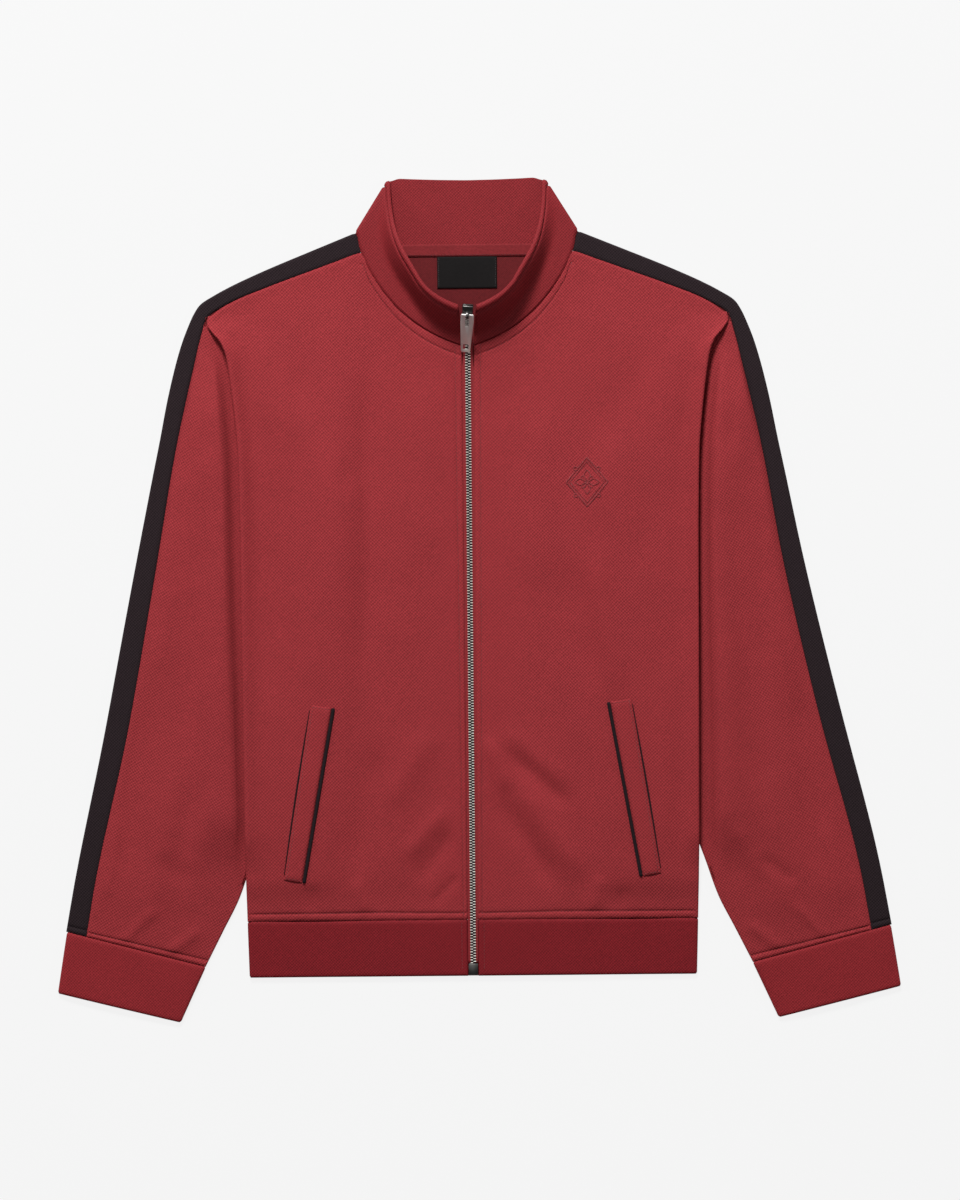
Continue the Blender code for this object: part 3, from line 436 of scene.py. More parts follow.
def x_of_y(line):
    """A line of points as a function from y to x."""
    line = line[np.argsort(line[:, 1])]
    return lambda y: float(np.interp(y, line[:, 1], line[:, 0]))


side_fold_x = x_of_y(sampled(SIDE_FOLD, 200))
side_seam_x = x_of_y(np.array(SIDE_SEAM))
sleeve_inner_x = x_of_y(np.array(SLEEVE_SECTIONS)[:, 1:3])


def side_top(y):
    """Top of the front at its side fold, on the pressed sleeve or, beyond the sleeve, on nothing."""
    under = mix(UNDER_BODY, 0.0, smooth((SLEEVE_LEAVES_Y - y) / 36.0))
    return mix(SHOULDER_HEIGHT, under + 2.0 * FRONT_FOLD, smooth((TIP_Y - y) / LIFT_DISTANCE))


FRONT_PUFF = 1.6       # the fronts stand this much higher between the zip and their sides


def front_height(x, y, depth, top_air):
    """Top of the front panel; depth is the share of the way from its top edge to the hem."""
    room = ZIP_EDGE_HEIGHT - SHOULDER_HEIGHT
    room += FRONT_PUFF * smooth((abs(x) - 20.0) / 60.0) * smooth((y - HEM_SEAM_Y) / 60.0)
    at_side = smooth((side_fold_x(y) - abs(x) - 6.0) / 45.0) if y < TIP_Y else 1.0
    air = SHOULDER_HEIGHT - 2.0 * CLOTH - GAP + max(room * at_side, 0.0)
    over_folds = 1.0 - smooth((side_seam_x(y) - abs(x) - 3.0) / RAMP)
    lift = (side_top(y) - SHOULDER_HEIGHT) * over_folds
    return 2.0 * CLOTH + GAP + lift + mix(top_air, air, smooth(depth / 0.12))


DEPTHS = (0.0, 0.012, 0.027, 0.045, 0.07, 0.11, 0.16, 0.23, 0.315, 0.358, 0.415, 0.50, 0.60, 0.70, 0.79,
          0.87, 0.93, 0.97, 1.0)
BACK_DEPTHS = (0.0, 0.0188, 0.0404, 0.105, 0.2055, 0.315, 0.4, 0.55, 0.7, 0.85, 1.0)
NECK_COLUMNS = 9
SHOULDER_COLUMNS = 8
NECK_SHARE = 78.0      # x at the hem of the column that starts at the neck's corner
BEND_FROM = 60.0       # columns further out than this bend to follow the side
ARC_STEPS = 5
LEAST_TURN = 0.12      # share of the half turn that a front's side always has


def stripe_sections(seam_levels):
    """Sections of the stripe where its seam is at the given y, neck to cuff."""
    line = sampled(STRIPE_OUTLINE, 240)[::-1]
    return [Outline(*row) for row in at_places(seam_levels, line[:, 3], line).tolist()]


def shoulder_sections():
    return stripe_sections(np.linspace(STRIPE_OUTLINE[0].seam_y, TIP_Y, SHOULDER_COLUMNS))


def panel_rows(neck, depths, first_x, side_x):
    """Rows (x, y) across half a panel, from its top edge to the hem, bent to follow the side."""
    tops = sampled(neck, NECK_COLUMNS).tolist()
    tops = [Point(*top[:2]) for top in tops] + [Point(s.seam_x, s.seam_y) for s in shoulder_sections()[1:]]
    foots = [*np.linspace(first_x, NECK_SHARE, NECK_COLUMNS),
             *np.linspace(NECK_SHARE, side_x(HEM_SEAM_Y), SHOULDER_COLUMNS)[1:]]
    for depth in depths:
        straight = mix(tops[-1].x, foots[-1], depth)
        lowered = SEAM * (1.0 - smooth(depth / 0.02))
        row = []
        for top, foot in zip(tops, foots):
            x, y = mix(top.x, foot, depth), mix(top.y, HEM_SEAM_Y + SEAM, depth)
            share = max(x - BEND_FROM, 0.0) / (straight - BEND_FROM)
            row.append((x + (side_x(y) - straight) * share, y - lowered))
        yield depth, tops, row


def arc_down(x, y, top, radius, angle):
    """Points of the turn under, from just past the top."""
    turns = [angle * i / ARC_STEPS for i in range(1, ARC_STEPS + 1)]
    return [(x + radius * math.sin(t), y, top - radius * (1.0 - math.cos(t))) for t in turns]


def front_return(y, end, angle, turned, side):
    """The front's cloth under the fold, lying on the sleeve, in to the armhole seam or side seam."""
    end_x, _, low = end
    seam_x = side_seam_x(y) + HIDDEN_SEAM
    sleeve_x = max(min(sleeve_inner_x(y) + side * lean(y), end_x) - 1.5, seam_x + 0.6)
    end_low = mix(low, 0.0, smooth((UNDERARM_Y - y - 20.0) / 40.0))
    path = [(mix(end_x, sleeve_x, 0.5), low), (sleeve_x, low), (mix(seam_x, sleeve_x, 0.35), end_low),
            (seam_x, end_low)]
    share = turned ** 8
    points = []
    for i, (x, z) in enumerate(path):
        tail = 0.25 * (i + 1) * (1.0 - share)
        points.append((end_x + tail * math.cos(angle) + (x - end_x) * share, y,
                       low - tail * math.sin(angle) + (z - low) * share))
    return points


def mirrored(points, side):
    return [(side * x, y, z) for x, y, z in points]


def lean(y):
    """How far the arms lie towards plus X of where a symmetric garment has them."""
    start, distance = LEAN_FROM
    return ARM_LEAN * smooth((start - y) / distance)


def arm_row(points, side):
    """A row of one arm, mirrored and leaned."""
    return [(side * x + lean(y), y, z) for x, y, z in points]


def front_rows(side):
    neck = [p for p in sampled(COLLAR_FRONT, 60) if p[1] < STRIPE_OUTLINE[0].seam_y]
    rows = []
    for depth, tops, flat in panel_rows(neck, DEPTHS, ZIP_HALF_GAP, lambda y: side_fold_x(y) - FRONT_FOLD):
        row = []
        for top, (x, y) in zip(tops, flat):
            top_air = float(np.interp(top.x, *zip(*NECK_AIR)))
            row.append((x, y, front_height(side * x, y, depth, top_air)))
        row[-1] = (x, y, side_top(y))
        start, distance = FRONT_TURN
        turned = smooth((start - y) / distance)
        angle = math.pi * max(turned, LEAST_TURN)
        row += arc_down(x, y, side_top(y), FRONT_FOLD, angle)
        row += front_return(y, row[-1], angle, turned, side)
        rows.append(mirrored(row, side))
    return rows


def back_rows():
    """The back panel, which lies flat between the armhole and side seams."""
    rows = []
    for _, _, flat in panel_rows(BACK_NECK, BACK_DEPTHS, 0.0, lambda y: side_seam_x(y) - HIDDEN_SEAM):
        half = [(x, y, CLOTH) for x, y in flat]
        rows.append(mirrored(half[:0:-1], -1) + half)
    return rows


BAND_DEPTHS = (0.0, 0.3, 0.65, 1.0)
BAND_COLUMNS = 8


def band_front_row(y):
    side = side_fold_x(y) - BAND_FOLD
    row = []
    for x in np.linspace(ZIP_HALF_GAP, side, BAND_COLUMNS):
        row.append((x, y, mix(2.0 * BAND_FOLD, ZIP_EDGE_HEIGHT, 1.0 - smooth((x - 60.0) / 90.0))))
    return row + arc_down(side, y, 2.0 * BAND_FOLD, BAND_FOLD, math.pi) + [(side_seam_x(y) + SEAM, y, 0.0)]


SLEEVE_STATIONS = (258.0, 250.5, 237.0, 218.5, 185.0, 145.5, 115.0, 90.0, 82.0, 75.0, 68.0, 60.0, 34.5,
                   -20.0, -65.0, -113.0, -152.0, -191.0, -228.0, -260.0, -282.0, -305.2)
SLEEVE_SHARES = (0.0, 0.08, 0.22, 0.4, 0.6, 0.78, 0.92, 1.0)
FLAT_STEP = 0.5        # between the last points of the sleeve's front along the armhole
HALF_TURN = [math.pi * i / 6.0 for i in range(7)]


def across(start, end, profile):
    """Points over the straight line from start to end, where the profile gives distance and height."""
    direction = (end - start).normalized()
    return [(*(start + direction * reach), z) for reach, z in profile]


def stripe_row(section):
    """Across the stripe: in from its seam on top, round the outer edge and back below."""
    outer, seam = Vector(section[:2]), Vector(section[2:])
    radius = SHOULDER_FOLD / 2.0
    width = (seam - outer).length - SEAM
    fold = [(radius - radius * math.sin(turn), radius + radius * math.cos(turn)) for turn in HALF_TURN]
    return across(outer, seam, [(width, SHOULDER_FOLD), *fold, (width, 0.0)])


def sleeve_sections():
    """The sleeve's sections: seam point, inner point and puff."""
    table = np.array(SLEEVE_SECTIONS)[::-1]
    found = at_places(SLEEVE_STATIONS, table[:, 0], table[:, 1:]).tolist()
    sections = []
    for y, stripe, (inner_x, inner_y, puff) in zip(SLEEVE_STATIONS, stripe_sections(SLEEVE_STATIONS), found):
        sections.append((Vector((stripe.seam_x, y)), Vector((inner_x, inner_y)), puff))
    return sections


def sleeve_front_row(seam, inner, puff):
    """Top of the sleeve: from the stripe's seam to the armhole seam, or round the inner fold."""
    radius = SLEEVE_PRESSED / 2.0
    free = smooth((UNDERARM_Y - inner.y - 3.0) / 28.0)
    width = (inner - seam).length - mix(HIDDEN_SEAM + 5.0 * FLAT_STEP, radius, free)
    shown = width - 1.2
    body_edge = side_fold_x(inner.y)
    if inner.x < body_edge:
        shown = min((seam.x - body_edge - 2.0) / abs((inner - seam).normalized().x), shown)
    shown = max(shown, 0.8)
    profile = []
    for share in SLEEVE_SHARES:
        z = mix(SHOULDER_FOLD, SLEEVE_PRESSED, smooth(share)) + puff * math.sin(math.pi * share)
        profile.append((mix(SEAM, shown, share), z))
    profile += [(mix(shown, width, share), SLEEVE_PRESSED) for share in (0.5, 1.0)]
    for i in range(1, 5):
        turn = math.pi * i / 4.0
        profile.append((width + mix(FLAT_STEP * i, radius * math.sin(turn), free),
                        SLEEVE_PRESSED - radius * (1.0 - math.cos(turn)) * free))
    profile.append((width + mix(FLAT_STEP * 5.0, -HIDDEN_SEAM, free), SLEEVE_PRESSED * (1.0 - free)))
    return across(seam, inner, profile)


def sleeve_back_row(seam, inner):
    """Underside of the sleeve, flat from the stripe's seam to the armhole seam or the underarm seam."""
    free = smooth((UNDERARM_Y - inner.y + 2.0) / 8.0)
    width = (inner - seam).length - mix(0.5, SLEEVE_PRESSED / 2.0 + HIDDEN_SEAM + SEAM, free)
    return across(seam, inner, [(mix(SEAM, width, share), 0.0) for share in (0.0, 0.25, 0.5, 0.75, 1.0)])


def cuff_rows():
    """Rings round the flattened cuff, from the sleeve's seam to its folded edge."""
    rows = []
    radius = CUFF_FOLD / 2.0
    for section in sampled(CUFF_SECTIONS, 4):
        outer, inner = Vector(section[:2]), Vector(section[2:])
        far = (inner - outer).length - radius
        ring = [(radius - radius * math.sin(turn), radius - radius * math.cos(turn)) for turn in HALF_TURN]
        ring += [(mix(radius, far, share), CUFF_FOLD + CUFF_PUFF * math.sin(math.pi * share))
                 for share in (0.25, 0.5, 0.75)]
        ring += [(far + radius * math.sin(turn), radius + radius * math.cos(turn)) for turn in HALF_TURN]
        ring += [(mix(radius, far, share), 0.0) for share in (0.75, 0.5, 0.25)]
        rows.append(across(outer, inner, ring))
    return rows


def collar_profile(plateau):
    """Run and rise across the standing collar, seam to edge: low, then steep, then level at the edge."""
    steep = [(mix(plateau, 1.0, step), mix(PLATEAU_RISE, 1.0, smooth(step))) for step in COLLAR_STEPS]
    return [(0.0, 0.0), (plateau / 2.0, PLATEAU_RISE / 2.0)] + steep


def collar_sections(stations, count):
    """Columns across the collar, each from the neck seam to the edge."""
    columns = []
    for station in sampled(stations, count):
        seam, edge = Vector(station[:3]), Vector(station[3:6])
        inward = Vector((edge.x - seam.x, edge.y - seam.y, 0.0)).normalized()
        column = []
        for run, rise in collar_profile(station[6]):
            plan = seam.lerp(edge, run) + inward * COLLAR_TUCK * (1.0 - run)
            column.append((plan.x, plan.y, mix(seam.z, edge.z, rise)))
        columns.append(column)
    return columns


def collar_half():
    """Columns of the collar from the zip round the side to the middle of the back."""
    front_columns, back_columns = COLLAR_COLUMNS
    columns = collar_sections(COLLAR_FRONT, front_columns)
    last, corner = columns[-1], COLLAR_FRONT[-1]
    along = Vector((corner.edge_x - corner.seam_x, corner.edge_y - corner.seam_y)).normalized()
    for turn in HALF_TURN[1:-1]:
        shift = Vector((along.y, -along.x)) * COLLAR_FOLD * math.sin(turn)
        height = COLLAR_FOLD + COLLAR_FOLD * math.cos(turn)
        columns.append([(x + shift.x, y + shift.y, height) for x, y, _ in last])
    return columns + collar_sections(COLLAR_BACK, back_columns)


def zip_line():
    """The cloth's surface along the zip, hem to collar, as points (y, z), and its unit normals."""
    start = COLLAR_FRONT[0]
    lower = [HEM_Y + 12.0, HEM_SEAM_Y + 2.0, HEM_SEAM_Y + 10.0, *np.linspace(-240.0, 150.0, 9)]
    line = [(y, ZIP_EDGE_HEIGHT) for y in lower]
    upper = np.linspace(165.0, 230.0, 6)
    for y in upper:
        depth = (start.seam_y - y) / (start.seam_y - HEM_SEAM_Y)
        line.append((y, front_height(ZIP_HALF_GAP, y, depth, NECK_AIR[0][1])))
    for run, rise in collar_profile(start.plateau):
        line.append((mix(start.seam_y, start.edge_y, run), mix(start.seam_z, start.edge_z, rise)))
    y = np.array([*lower, *upper, *np.linspace(234.0, ZIP_TOP_Y, 9)])
    z = np.interp(y, *zip(*line))
    dy, dz = np.gradient(y), np.gradient(z)
    size = np.hypot(dy, dz)
    return np.stack([y, z, -dz / size, dy / size], axis=1)


ZIP_LINE = zip_line()


# ---- fine surfaces

def bell(distance, width):
    return np.exp(-(distance / width) ** 2)


def level_slopes(points, where):
    """Slopes of a curve through the points that never swings past them."""
    gaps = np.diff(where).reshape((-1,) + (1,) * (points.ndim - 1))
    secants = np.diff(points, axis=0) / gaps
    before, after = secants[:-1], secants[1:]
    weight_a, weight_b = 2.0 * gaps[1:] + gaps[:-1], gaps[1:] + 2.0 * gaps[:-1]
    same = before * after > 0.0
    safe_a, safe_b = np.where(same, before, 1.0), np.where(same, after, 1.0)
    inner = np.where(same, (weight_a + weight_b) / (weight_a / safe_a + weight_b / safe_b), 0.0)
    return np.concatenate([secants[:1], inner, secants[-1:]])


def along(points, where, targets):
    """The curve through the points, taken at the target places."""
    slopes = level_slopes(points, where)
    i = np.clip(np.searchsorted(where, targets, side="right") - 1, 0, len(where) - 2)
    shape = (-1,) + (1,) * (points.ndim - 1)
    span = (where[i + 1] - where[i]).reshape(shape)
    t = ((targets - where[i]) / (where[i + 1] - where[i])).reshape(shape)
    return hermite(points[i], points[i + 1], slopes[i] * span, slopes[i + 1] * span, t)


NEAR_MARK = (-1.3, -0.6, 0.0, 0.6, 1.3)
LEAST_STEP = 0.28      # grid lines closer together than this become one
LEAST_WALL = 0.25      # cloth left under a groove or a rounded edge
ABOVE_ALL = 80.0       # height from which the cloth's surface is looked up


def stops(where, step, marks):
    """Places along a line: its knots, even steps between them, and finer steps at the marks.

    A mark below zero counts from the end.
    """
    found = []
    for a, b in zip(where[:-1], where[1:]):
        found += list(np.linspace(a, b, max(1, math.ceil((b - a) / step)), endpoint=False))
    for mark in marks:
        found += [mark % where[-1] + near for near in NEAR_MARK]
    found = sorted(f for f in found if 0.0 <= f < where[-1] - 0.2)
    kept = [found[0]]
    for place in found[1:]:
        if place - kept[-1] > LEAST_STEP:
            kept.append(place)
    return np.array(kept + [where[-1]])


def new_mesh(name, verts, faces, look, node=None, recalculate=True):
    """A finished piece of the jacket; the points are in millimetres."""
    mesh = bpy.data.meshes.new(name)
    mesh.from_pydata((np.array(verts) * MM).tolist(), [], faces)
    if recalculate:
        fix = bmesh.new()
        fix.from_mesh(mesh)
        bmesh.ops.recalc_face_normals(fix, faces=fix.faces)
        fix.to_mesh(mesh)
        fix.free()
    return dress(name, mesh, look, node)


def dress(name, mesh, look, node=None, body=JACKET):
    """Links a finished mesh with its material; it rides on a body and may stand for a node."""
    mesh.materials.append(LOOKS[look])
    mesh.shade_smooth()
    obj = bpy.data.objects.new(name, mesh)
    bpy.context.scene.collection.objects.link(obj)
    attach(obj, body)
    if node:
        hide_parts(node)
    return obj


class Surface:
    """A fine grid through coarse rows of points.

    It keeps the distance of each row and column from its four edges: top, foot, first and last.
    """

    def __init__(self, rows, step=2.4, row_marks=(), column_marks=(), closed=False):
        coarse = np.array(rows, dtype=float)
        if closed:
            coarse = np.concatenate([coarse, coarse[:, :1]], axis=1)
        self.closed = closed
        self.row_knots = distances(coarse, 1e-3)
        self.column_knots = distances(coarse.transpose(1, 0, 2), 1e-3)
        self.r = stops(self.row_knots, step, row_marks)
        self.c = stops(self.column_knots, step, column_marks)
        points = along(coarse, self.row_knots, self.r)
        points = along(points.transpose(1, 0, 2), self.column_knots, self.c).transpose(1, 0, 2)
        self.points = points
        self.x, self.y, self.z = points[..., 0], points[..., 1], points[..., 2]
        self.top, self.foot = self.r[:, None], self.r[-1] - self.r[:, None]
        self.first, self.last = self.c[None, :], self.c[-1] - self.c[None, :]
        self.pinch = np.zeros(points.shape[:2])
        self.tree = None

    def edge(self, width=1.1, **amounts):
        """Rounds the named edges of the cloth down, each by its amount."""
        for which, amount in amounts.items():
            self.pinch = np.maximum(self.pinch, amount * bell(getattr(self, which), width))

    def grow(self, **reach):
        """Moves the named edges outward so that pieces meet at their seams."""
        grid = self.points
        for which, amount in reach.items():
            line, inner = {"top": (grid[0], grid[1]), "foot": (grid[-1], grid[-2]),
                           "first": (grid[:, 0], grid[:, 1]), "last": (grid[:, -1], grid[:, -2])}[which]
            run = line - inner
            line += run / np.maximum(np.linalg.norm(run, axis=-1, keepdims=True), 1e-6) * amount

    def groove(self, distance, amount, width=0.9, where=1.0):
        """Lowers the cloth along a line, given the distance of each point from it."""
        self.pinch = self.pinch + amount * bell(distance, width) * where

    def shell(self, name, thickness, look, node=None, side_up=(0.3, 0.3), facing=1.0):
        """The closed wall: outer face pinched at edges and grooves, inner face plain."""
        down, run = np.gradient(self.points, axis=0), np.gradient(self.points, axis=1)
        if self.closed:
            run[:, 0] = run[:, -1] = self.points[:, 1] - self.points[:, -2]
        normal = np.cross(run, down)
        normal /= np.maximum(np.linalg.norm(normal, axis=-1, keepdims=True), 1e-9)
        rows, columns = self.pinch.shape
        if normal[int(rows * side_up[0]), int(columns * side_up[1]), 2] * facing < 0.0:
            normal = -normal
        outer = self.points - normal * np.minimum(self.pinch, thickness - LEAST_WALL)[..., None]
        inner = self.points - normal * thickness
        if self.closed:
            outer, inner, columns = outer[:, :-1], inner[:, :-1], columns - 1
        index = np.arange(rows * columns).reshape(rows, columns)
        if self.closed:
            index = np.concatenate([index, index[:, :1]], axis=1)
        corners = [index[:-1, :-1], index[:-1, 1:], index[1:, 1:], index[1:, :-1]]
        quads = np.stack(corners, axis=-1).reshape(-1, 4)
        rims = [index[0, ::-1], index[-1, :]]
        if not self.closed:
            rims += [index[:, 0], index[::-1, -1]]
        below = rows * columns
        walls = [np.stack([rim[:-1], rim[1:], rim[1:] + below, rim[:-1] + below], axis=-1) for rim in rims]
        self.outer, self.quads = outer, quads
        verts = np.concatenate([outer.reshape(-1, 3), inner.reshape(-1, 3)])
        faces = np.concatenate([quads, quads[:, ::-1] + below] + walls)
        return new_mesh(name, verts, faces.tolist(), look, node)

    def height(self, x, y, fallback=5.0):
        """Height of the finished outer face over a place."""
        if self.tree is None:
            self.tree = BVHTree.FromPolygons(self.outer.reshape(-1, 3).tolist(), self.quads.tolist())
        hit = self.tree.ray_cast(Vector((x, y, ABOVE_ALL)), Vector((0.0, 0.0, -1.0)))
        return hit[0].z if hit[0] else fallback


# ---- folds

Crease = namedtuple("Crease", "x0 y0 x1 y1 width height")


def creases(table, x, y):
    """Height of soft folds: each a line with a bell across it that fades at its ends."""
    total = np.zeros_like(x)
    for fold in table:
        run_x, run_y = fold.x1 - fold.x0, fold.y1 - fold.y0
        length = math.hypot(run_x, run_y)
        t = ((x - fold.x0) * run_x + (y - fold.y0) * run_y) / length ** 2
        off = ((x - fold.x0) * run_y - (y - fold.y0) * run_x) / length
        total += fold.height * smooth(t / 0.3) * smooth((1.0 - t) / 0.3) * bell(off, fold.width)
    return total


def ripple(x, y, size, seed):
    """Gentle unevenness of about one unit, as cloth has where nothing pulls on it."""
    rng = np.random.default_rng(seed)
    total = np.zeros_like(x)
    for _ in range(7):
        angle, phase = rng.uniform(0.0, math.pi), rng.uniform(0.0, 2.0 * math.pi)
        length = size * rng.uniform(0.7, 1.9)
        total += np.sin((x * math.cos(angle) + y * math.sin(angle)) * 2.0 * math.pi / length + phase)
    return total / 7.0


FRONT_CREASES = [Crease(*row) for row in (
    # minus X is the wearer's right; a minus height is a valley
    (-92, 268, -96, -110, 12, -3), (-126, 255, -131, -90, 20, 2.6), (-38, 225, -50, 10, 24, 1.8),
    (-172, 190, -178, -130, 15, -1.8), (-18, -184, -68, -242, 8.5, 1.9), (-12, -206, -56, -262, 8, -1.4),
    (-10, -250, -40, -280, 5, -1.1), (-30, -110, -80, -195, 13, 1.8), (-84, -120, -112, -262, 14, -1.4),
    (17, -170, 84, -276, 10.5, -2.6), (38, -160, 106, -262, 12, 2.8), (12, -120, 36, -180, 8, 2.2),
    (21, -110, 98, -176, 11, 1.8), (30, -134, 94, -194, 8, -1.8), (112, 60, 138, -100, 12, 2.2),
    (92, 40, 112, -90, 12, -1.4), (62, 205, 66, -10, 28, 2.2), (150, 215, 174, 10, 16, -1.8),
    (186, -20, 180, -245, 13, 1.8), (-186, -20, -182, -255, 12, 1.5), (118, -250, 110, -292, 7, 1.4),
    (138, -262, 134, -292, 7, -1), (-108, -252, -98, -292, 7, 1.4), (-150, -256, -146, -292, 8, -1),
)]
LEFT_SLEEVE_CREASES = [Crease(*row) for row in (
    (262, 190, 296, -120, 15, 1.5), (232, 120, 262, -150, 13, -1.5), (300, -60, 322, -270, 12, -1.4),
    (262, -150, 292, -300, 12, 1.3), (240, -200, 268, -262, 8, 1.2), (262, -236, 300, -262, 6, -1),
    (318, -190, 346, -290, 8, 1), (246, 232, 238, 120, 9, -1.2), (330, -318, 292, -276, 4.5, 0.9),
    (290, -326, 248, -296, 5, 0.9),
)]
RIGHT_SLEEVE_CREASES = [Crease(*row) for row in (
    (-262, 190, -296, -120, 15, 1.6), (-234, 150, -262, -140, 13, -1.4),
    (-300, -70, -324, -270, 12, -1.3), (-266, -130, -298, -296, 12, 1.3),
    (-232, -160, -266, -266, 11, 0.8), (-250, -256, -300, -236, 9, -0.6), (-322, -180, -344, -286, 8, 1),
    (-246, 232, -238, 120, 9, -1.2), (-330, -318, -288, -276, 4.5, 0.9), (-292, -330, -246, -296, 5, 0.9),
)]
SLEEVE_CREASES = {1: LEFT_SLEEVE_CREASES, -1: RIGHT_SLEEVE_CREASES}
SIDES = ((1, "left"), (-1, "right"))
MADE = {}                # surfaces that stitches and other pieces lie on, by kind and side


# ---- body

FRONT_TOP_COLUMN = NECK_COLUMNS + SHOULDER_COLUMNS - 2
TOPSTITCH_ZIP = 5.2      # from a front's folded edge
TOPSTITCH_NECK = 9.5
TOPSTITCH_HEM = 6.4
SIDE_ROLL = 6.0          # how far the front's side fold stands up below the shoulder's tip
SIDE_ROLL_LOW = 0.9      # and its share beside the lower sleeve
SIDE_ROLL_GROWS = (-60.0, 230.0)   # y from which that share grows, and the distance to all of it
FREE_AIR = 3.0           # how far a valley can sink before it meets the back


def make_front(side, word):
    cloth = Surface(front_rows(side), 2.4, (0.6, TOPSTITCH_NECK, -TOPSTITCH_HEM, -0.6), (0.6, TOPSTITCH_ZIP))
    x, y = cloth.x, cloth.y
    edge = cloth.column_knots[FRONT_TOP_COLUMN]
    over = cloth.first < edge
    on_top = smooth((edge - cloth.first) / 14.0)
    inside = on_top * smooth(cloth.top / 22.0) * smooth(cloth.foot / 16.0)
    inside = inside * smooth(cloth.first / 9.0 + 0.15)
    bulge = creases(FRONT_CREASES, x, y) + 0.45 * ripple(x, y, 70.0, 5) + 0.15 * ripple(x, y, 24.0, 9)
    cloth.z += np.maximum(bulge, -FREE_AIR) * inside
    raised = smooth((TIP_Y - 5.0 - y) / 26.0) * smooth((y - SLEEVE_LEAVES_Y) / 40.0)
    start, distance = SIDE_ROLL_GROWS
    raised = raised * mix(SIDE_ROLL_LOW, 1.0, smooth((y - start) / distance))
    cloth.z += SIDE_ROLL * raised * bell(cloth.first - edge - 3.0, 12.0)
    cloth.grow(top=0.55, foot=0.3)
    cloth.edge(top=0.5, foot=0.85)
    cloth.pinch = cloth.pinch * over
    cloth.edge(0.9, first=0.8)
    cloth.groove(cloth.top - TOPSTITCH_NECK, 0.85, 1.1, where=(np.abs(x) < 97.0) & over)
    cloth.groove(cloth.foot - TOPSTITCH_HEM, 0.85, 1.1, where=over)
    cloth.groove(cloth.first - TOPSTITCH_ZIP, 0.6, where=over)
    cloth.z += 0.28 * (ripple(x, y, 9.0, 21) * bell(cloth.foot - 3.0, 5.0)) * over * on_top
    cloth.shell("cloth_front_" + word, CLOTH, "body", "front_" + word)
    MADE["front", side] = cloth


def make_band(side, word):
    rows = [mirrored(band_front_row(mix(HEM_SEAM_Y, HEM_Y, t)), side) for t in BAND_DEPTHS]
    cloth = Surface(rows, 2.2, (0.6, -0.6), (0.6, TOPSTITCH_ZIP))
    x, y = cloth.x, cloth.y
    over = cloth.z > 2.0 * BAND_FOLD - 0.4
    pucker = ripple(x, 0.25 * y, 13.0, 33) * bell(cloth.top, 16.0)
    cloth.z += (0.25 * pucker + 0.22 * ripple(x, y, 60.0, 41)) * over * smooth(cloth.top / 3.0)
    cloth.grow(top=0.3)
    cloth.edge(top=0.9)
    cloth.edge(1.0, foot=1.0)
    cloth.edge(0.9, first=0.9)
    cloth.groove(cloth.first - TOPSTITCH_ZIP, 0.36, where=over)
    cloth.shell("cloth_hem_" + word, BAND, "band", "hem_band_" + word)
    MADE["band", side] = cloth


# ---- arms

TOPSTITCH_CUFF = 5.2
SLEEVE_BANK = 8.0        # the sleeve stands up a little way off the front's side fold


def make_sleeve(side, word):
    rows = [arm_row(sleeve_front_row(*section), side) for section in sleeve_sections()]
    cloth = Surface(rows, 2.4, (-TOPSTITCH_CUFF, -0.6), (0.6,))
    x, y, foot = cloth.x, cloth.y, cloth.foot
    inner = np.array([row[len(SLEEVE_SHARES) - 1][0] for row in rows]) * side
    limit = along(inner, cloth.row_knots, cloth.r)[:, None]
    inside = smooth((np.abs(x) - np.maximum(limit, 0.0)) / 14.0) * smooth(cloth.first / 7.0)
    inside = inside * smooth(foot / 10.0) * smooth(cloth.top / 25.0)
    bulge = 1.5 * creases(SLEEVE_CREASES[side], x, y)
    bulge += 0.5 * ripple(x, y, 60.0, 50 + side) + 0.16 * ripple(x, y, 22.0, 60 + side)
    clear = np.abs(x) - limit
    bank = smooth((clear - 1.0) / 12.0) * (1.0 - smooth((clear - 16.0) / 44.0))
    bank = bank * smooth((TIP_Y - 25.0 - y) / 70.0) * smooth((y - SLEEVE_LEAVES_Y) / 60.0)
    cloth.z += np.maximum(bulge + SLEEVE_BANK * bank, -1.6) * inside
    on_top = cloth.z > SLEEVE_PRESSED - 0.05
    puckers = ripple(x, y, 10.0, 71 + side) * bell(foot - 4.0, 6.0)
    cloth.z += 0.25 * (puckers - 0.4) * on_top * smooth(foot / 3.0)
    cloth.grow(top=6.0, first=0.5, foot=0.4)
    cloth.z[0] -= 1.4
    cloth.edge(first=0.8, foot=0.85)
    cloth.groove(foot - TOPSTITCH_CUFF, 0.85, 1.1)
    cloth.pinch = cloth.pinch * on_top
    cloth.shell("cloth_sleeve_" + word, CLOTH, "sleeve_" + word, "sleeve_front_" + word)
    MADE["sleeve", side] = cloth


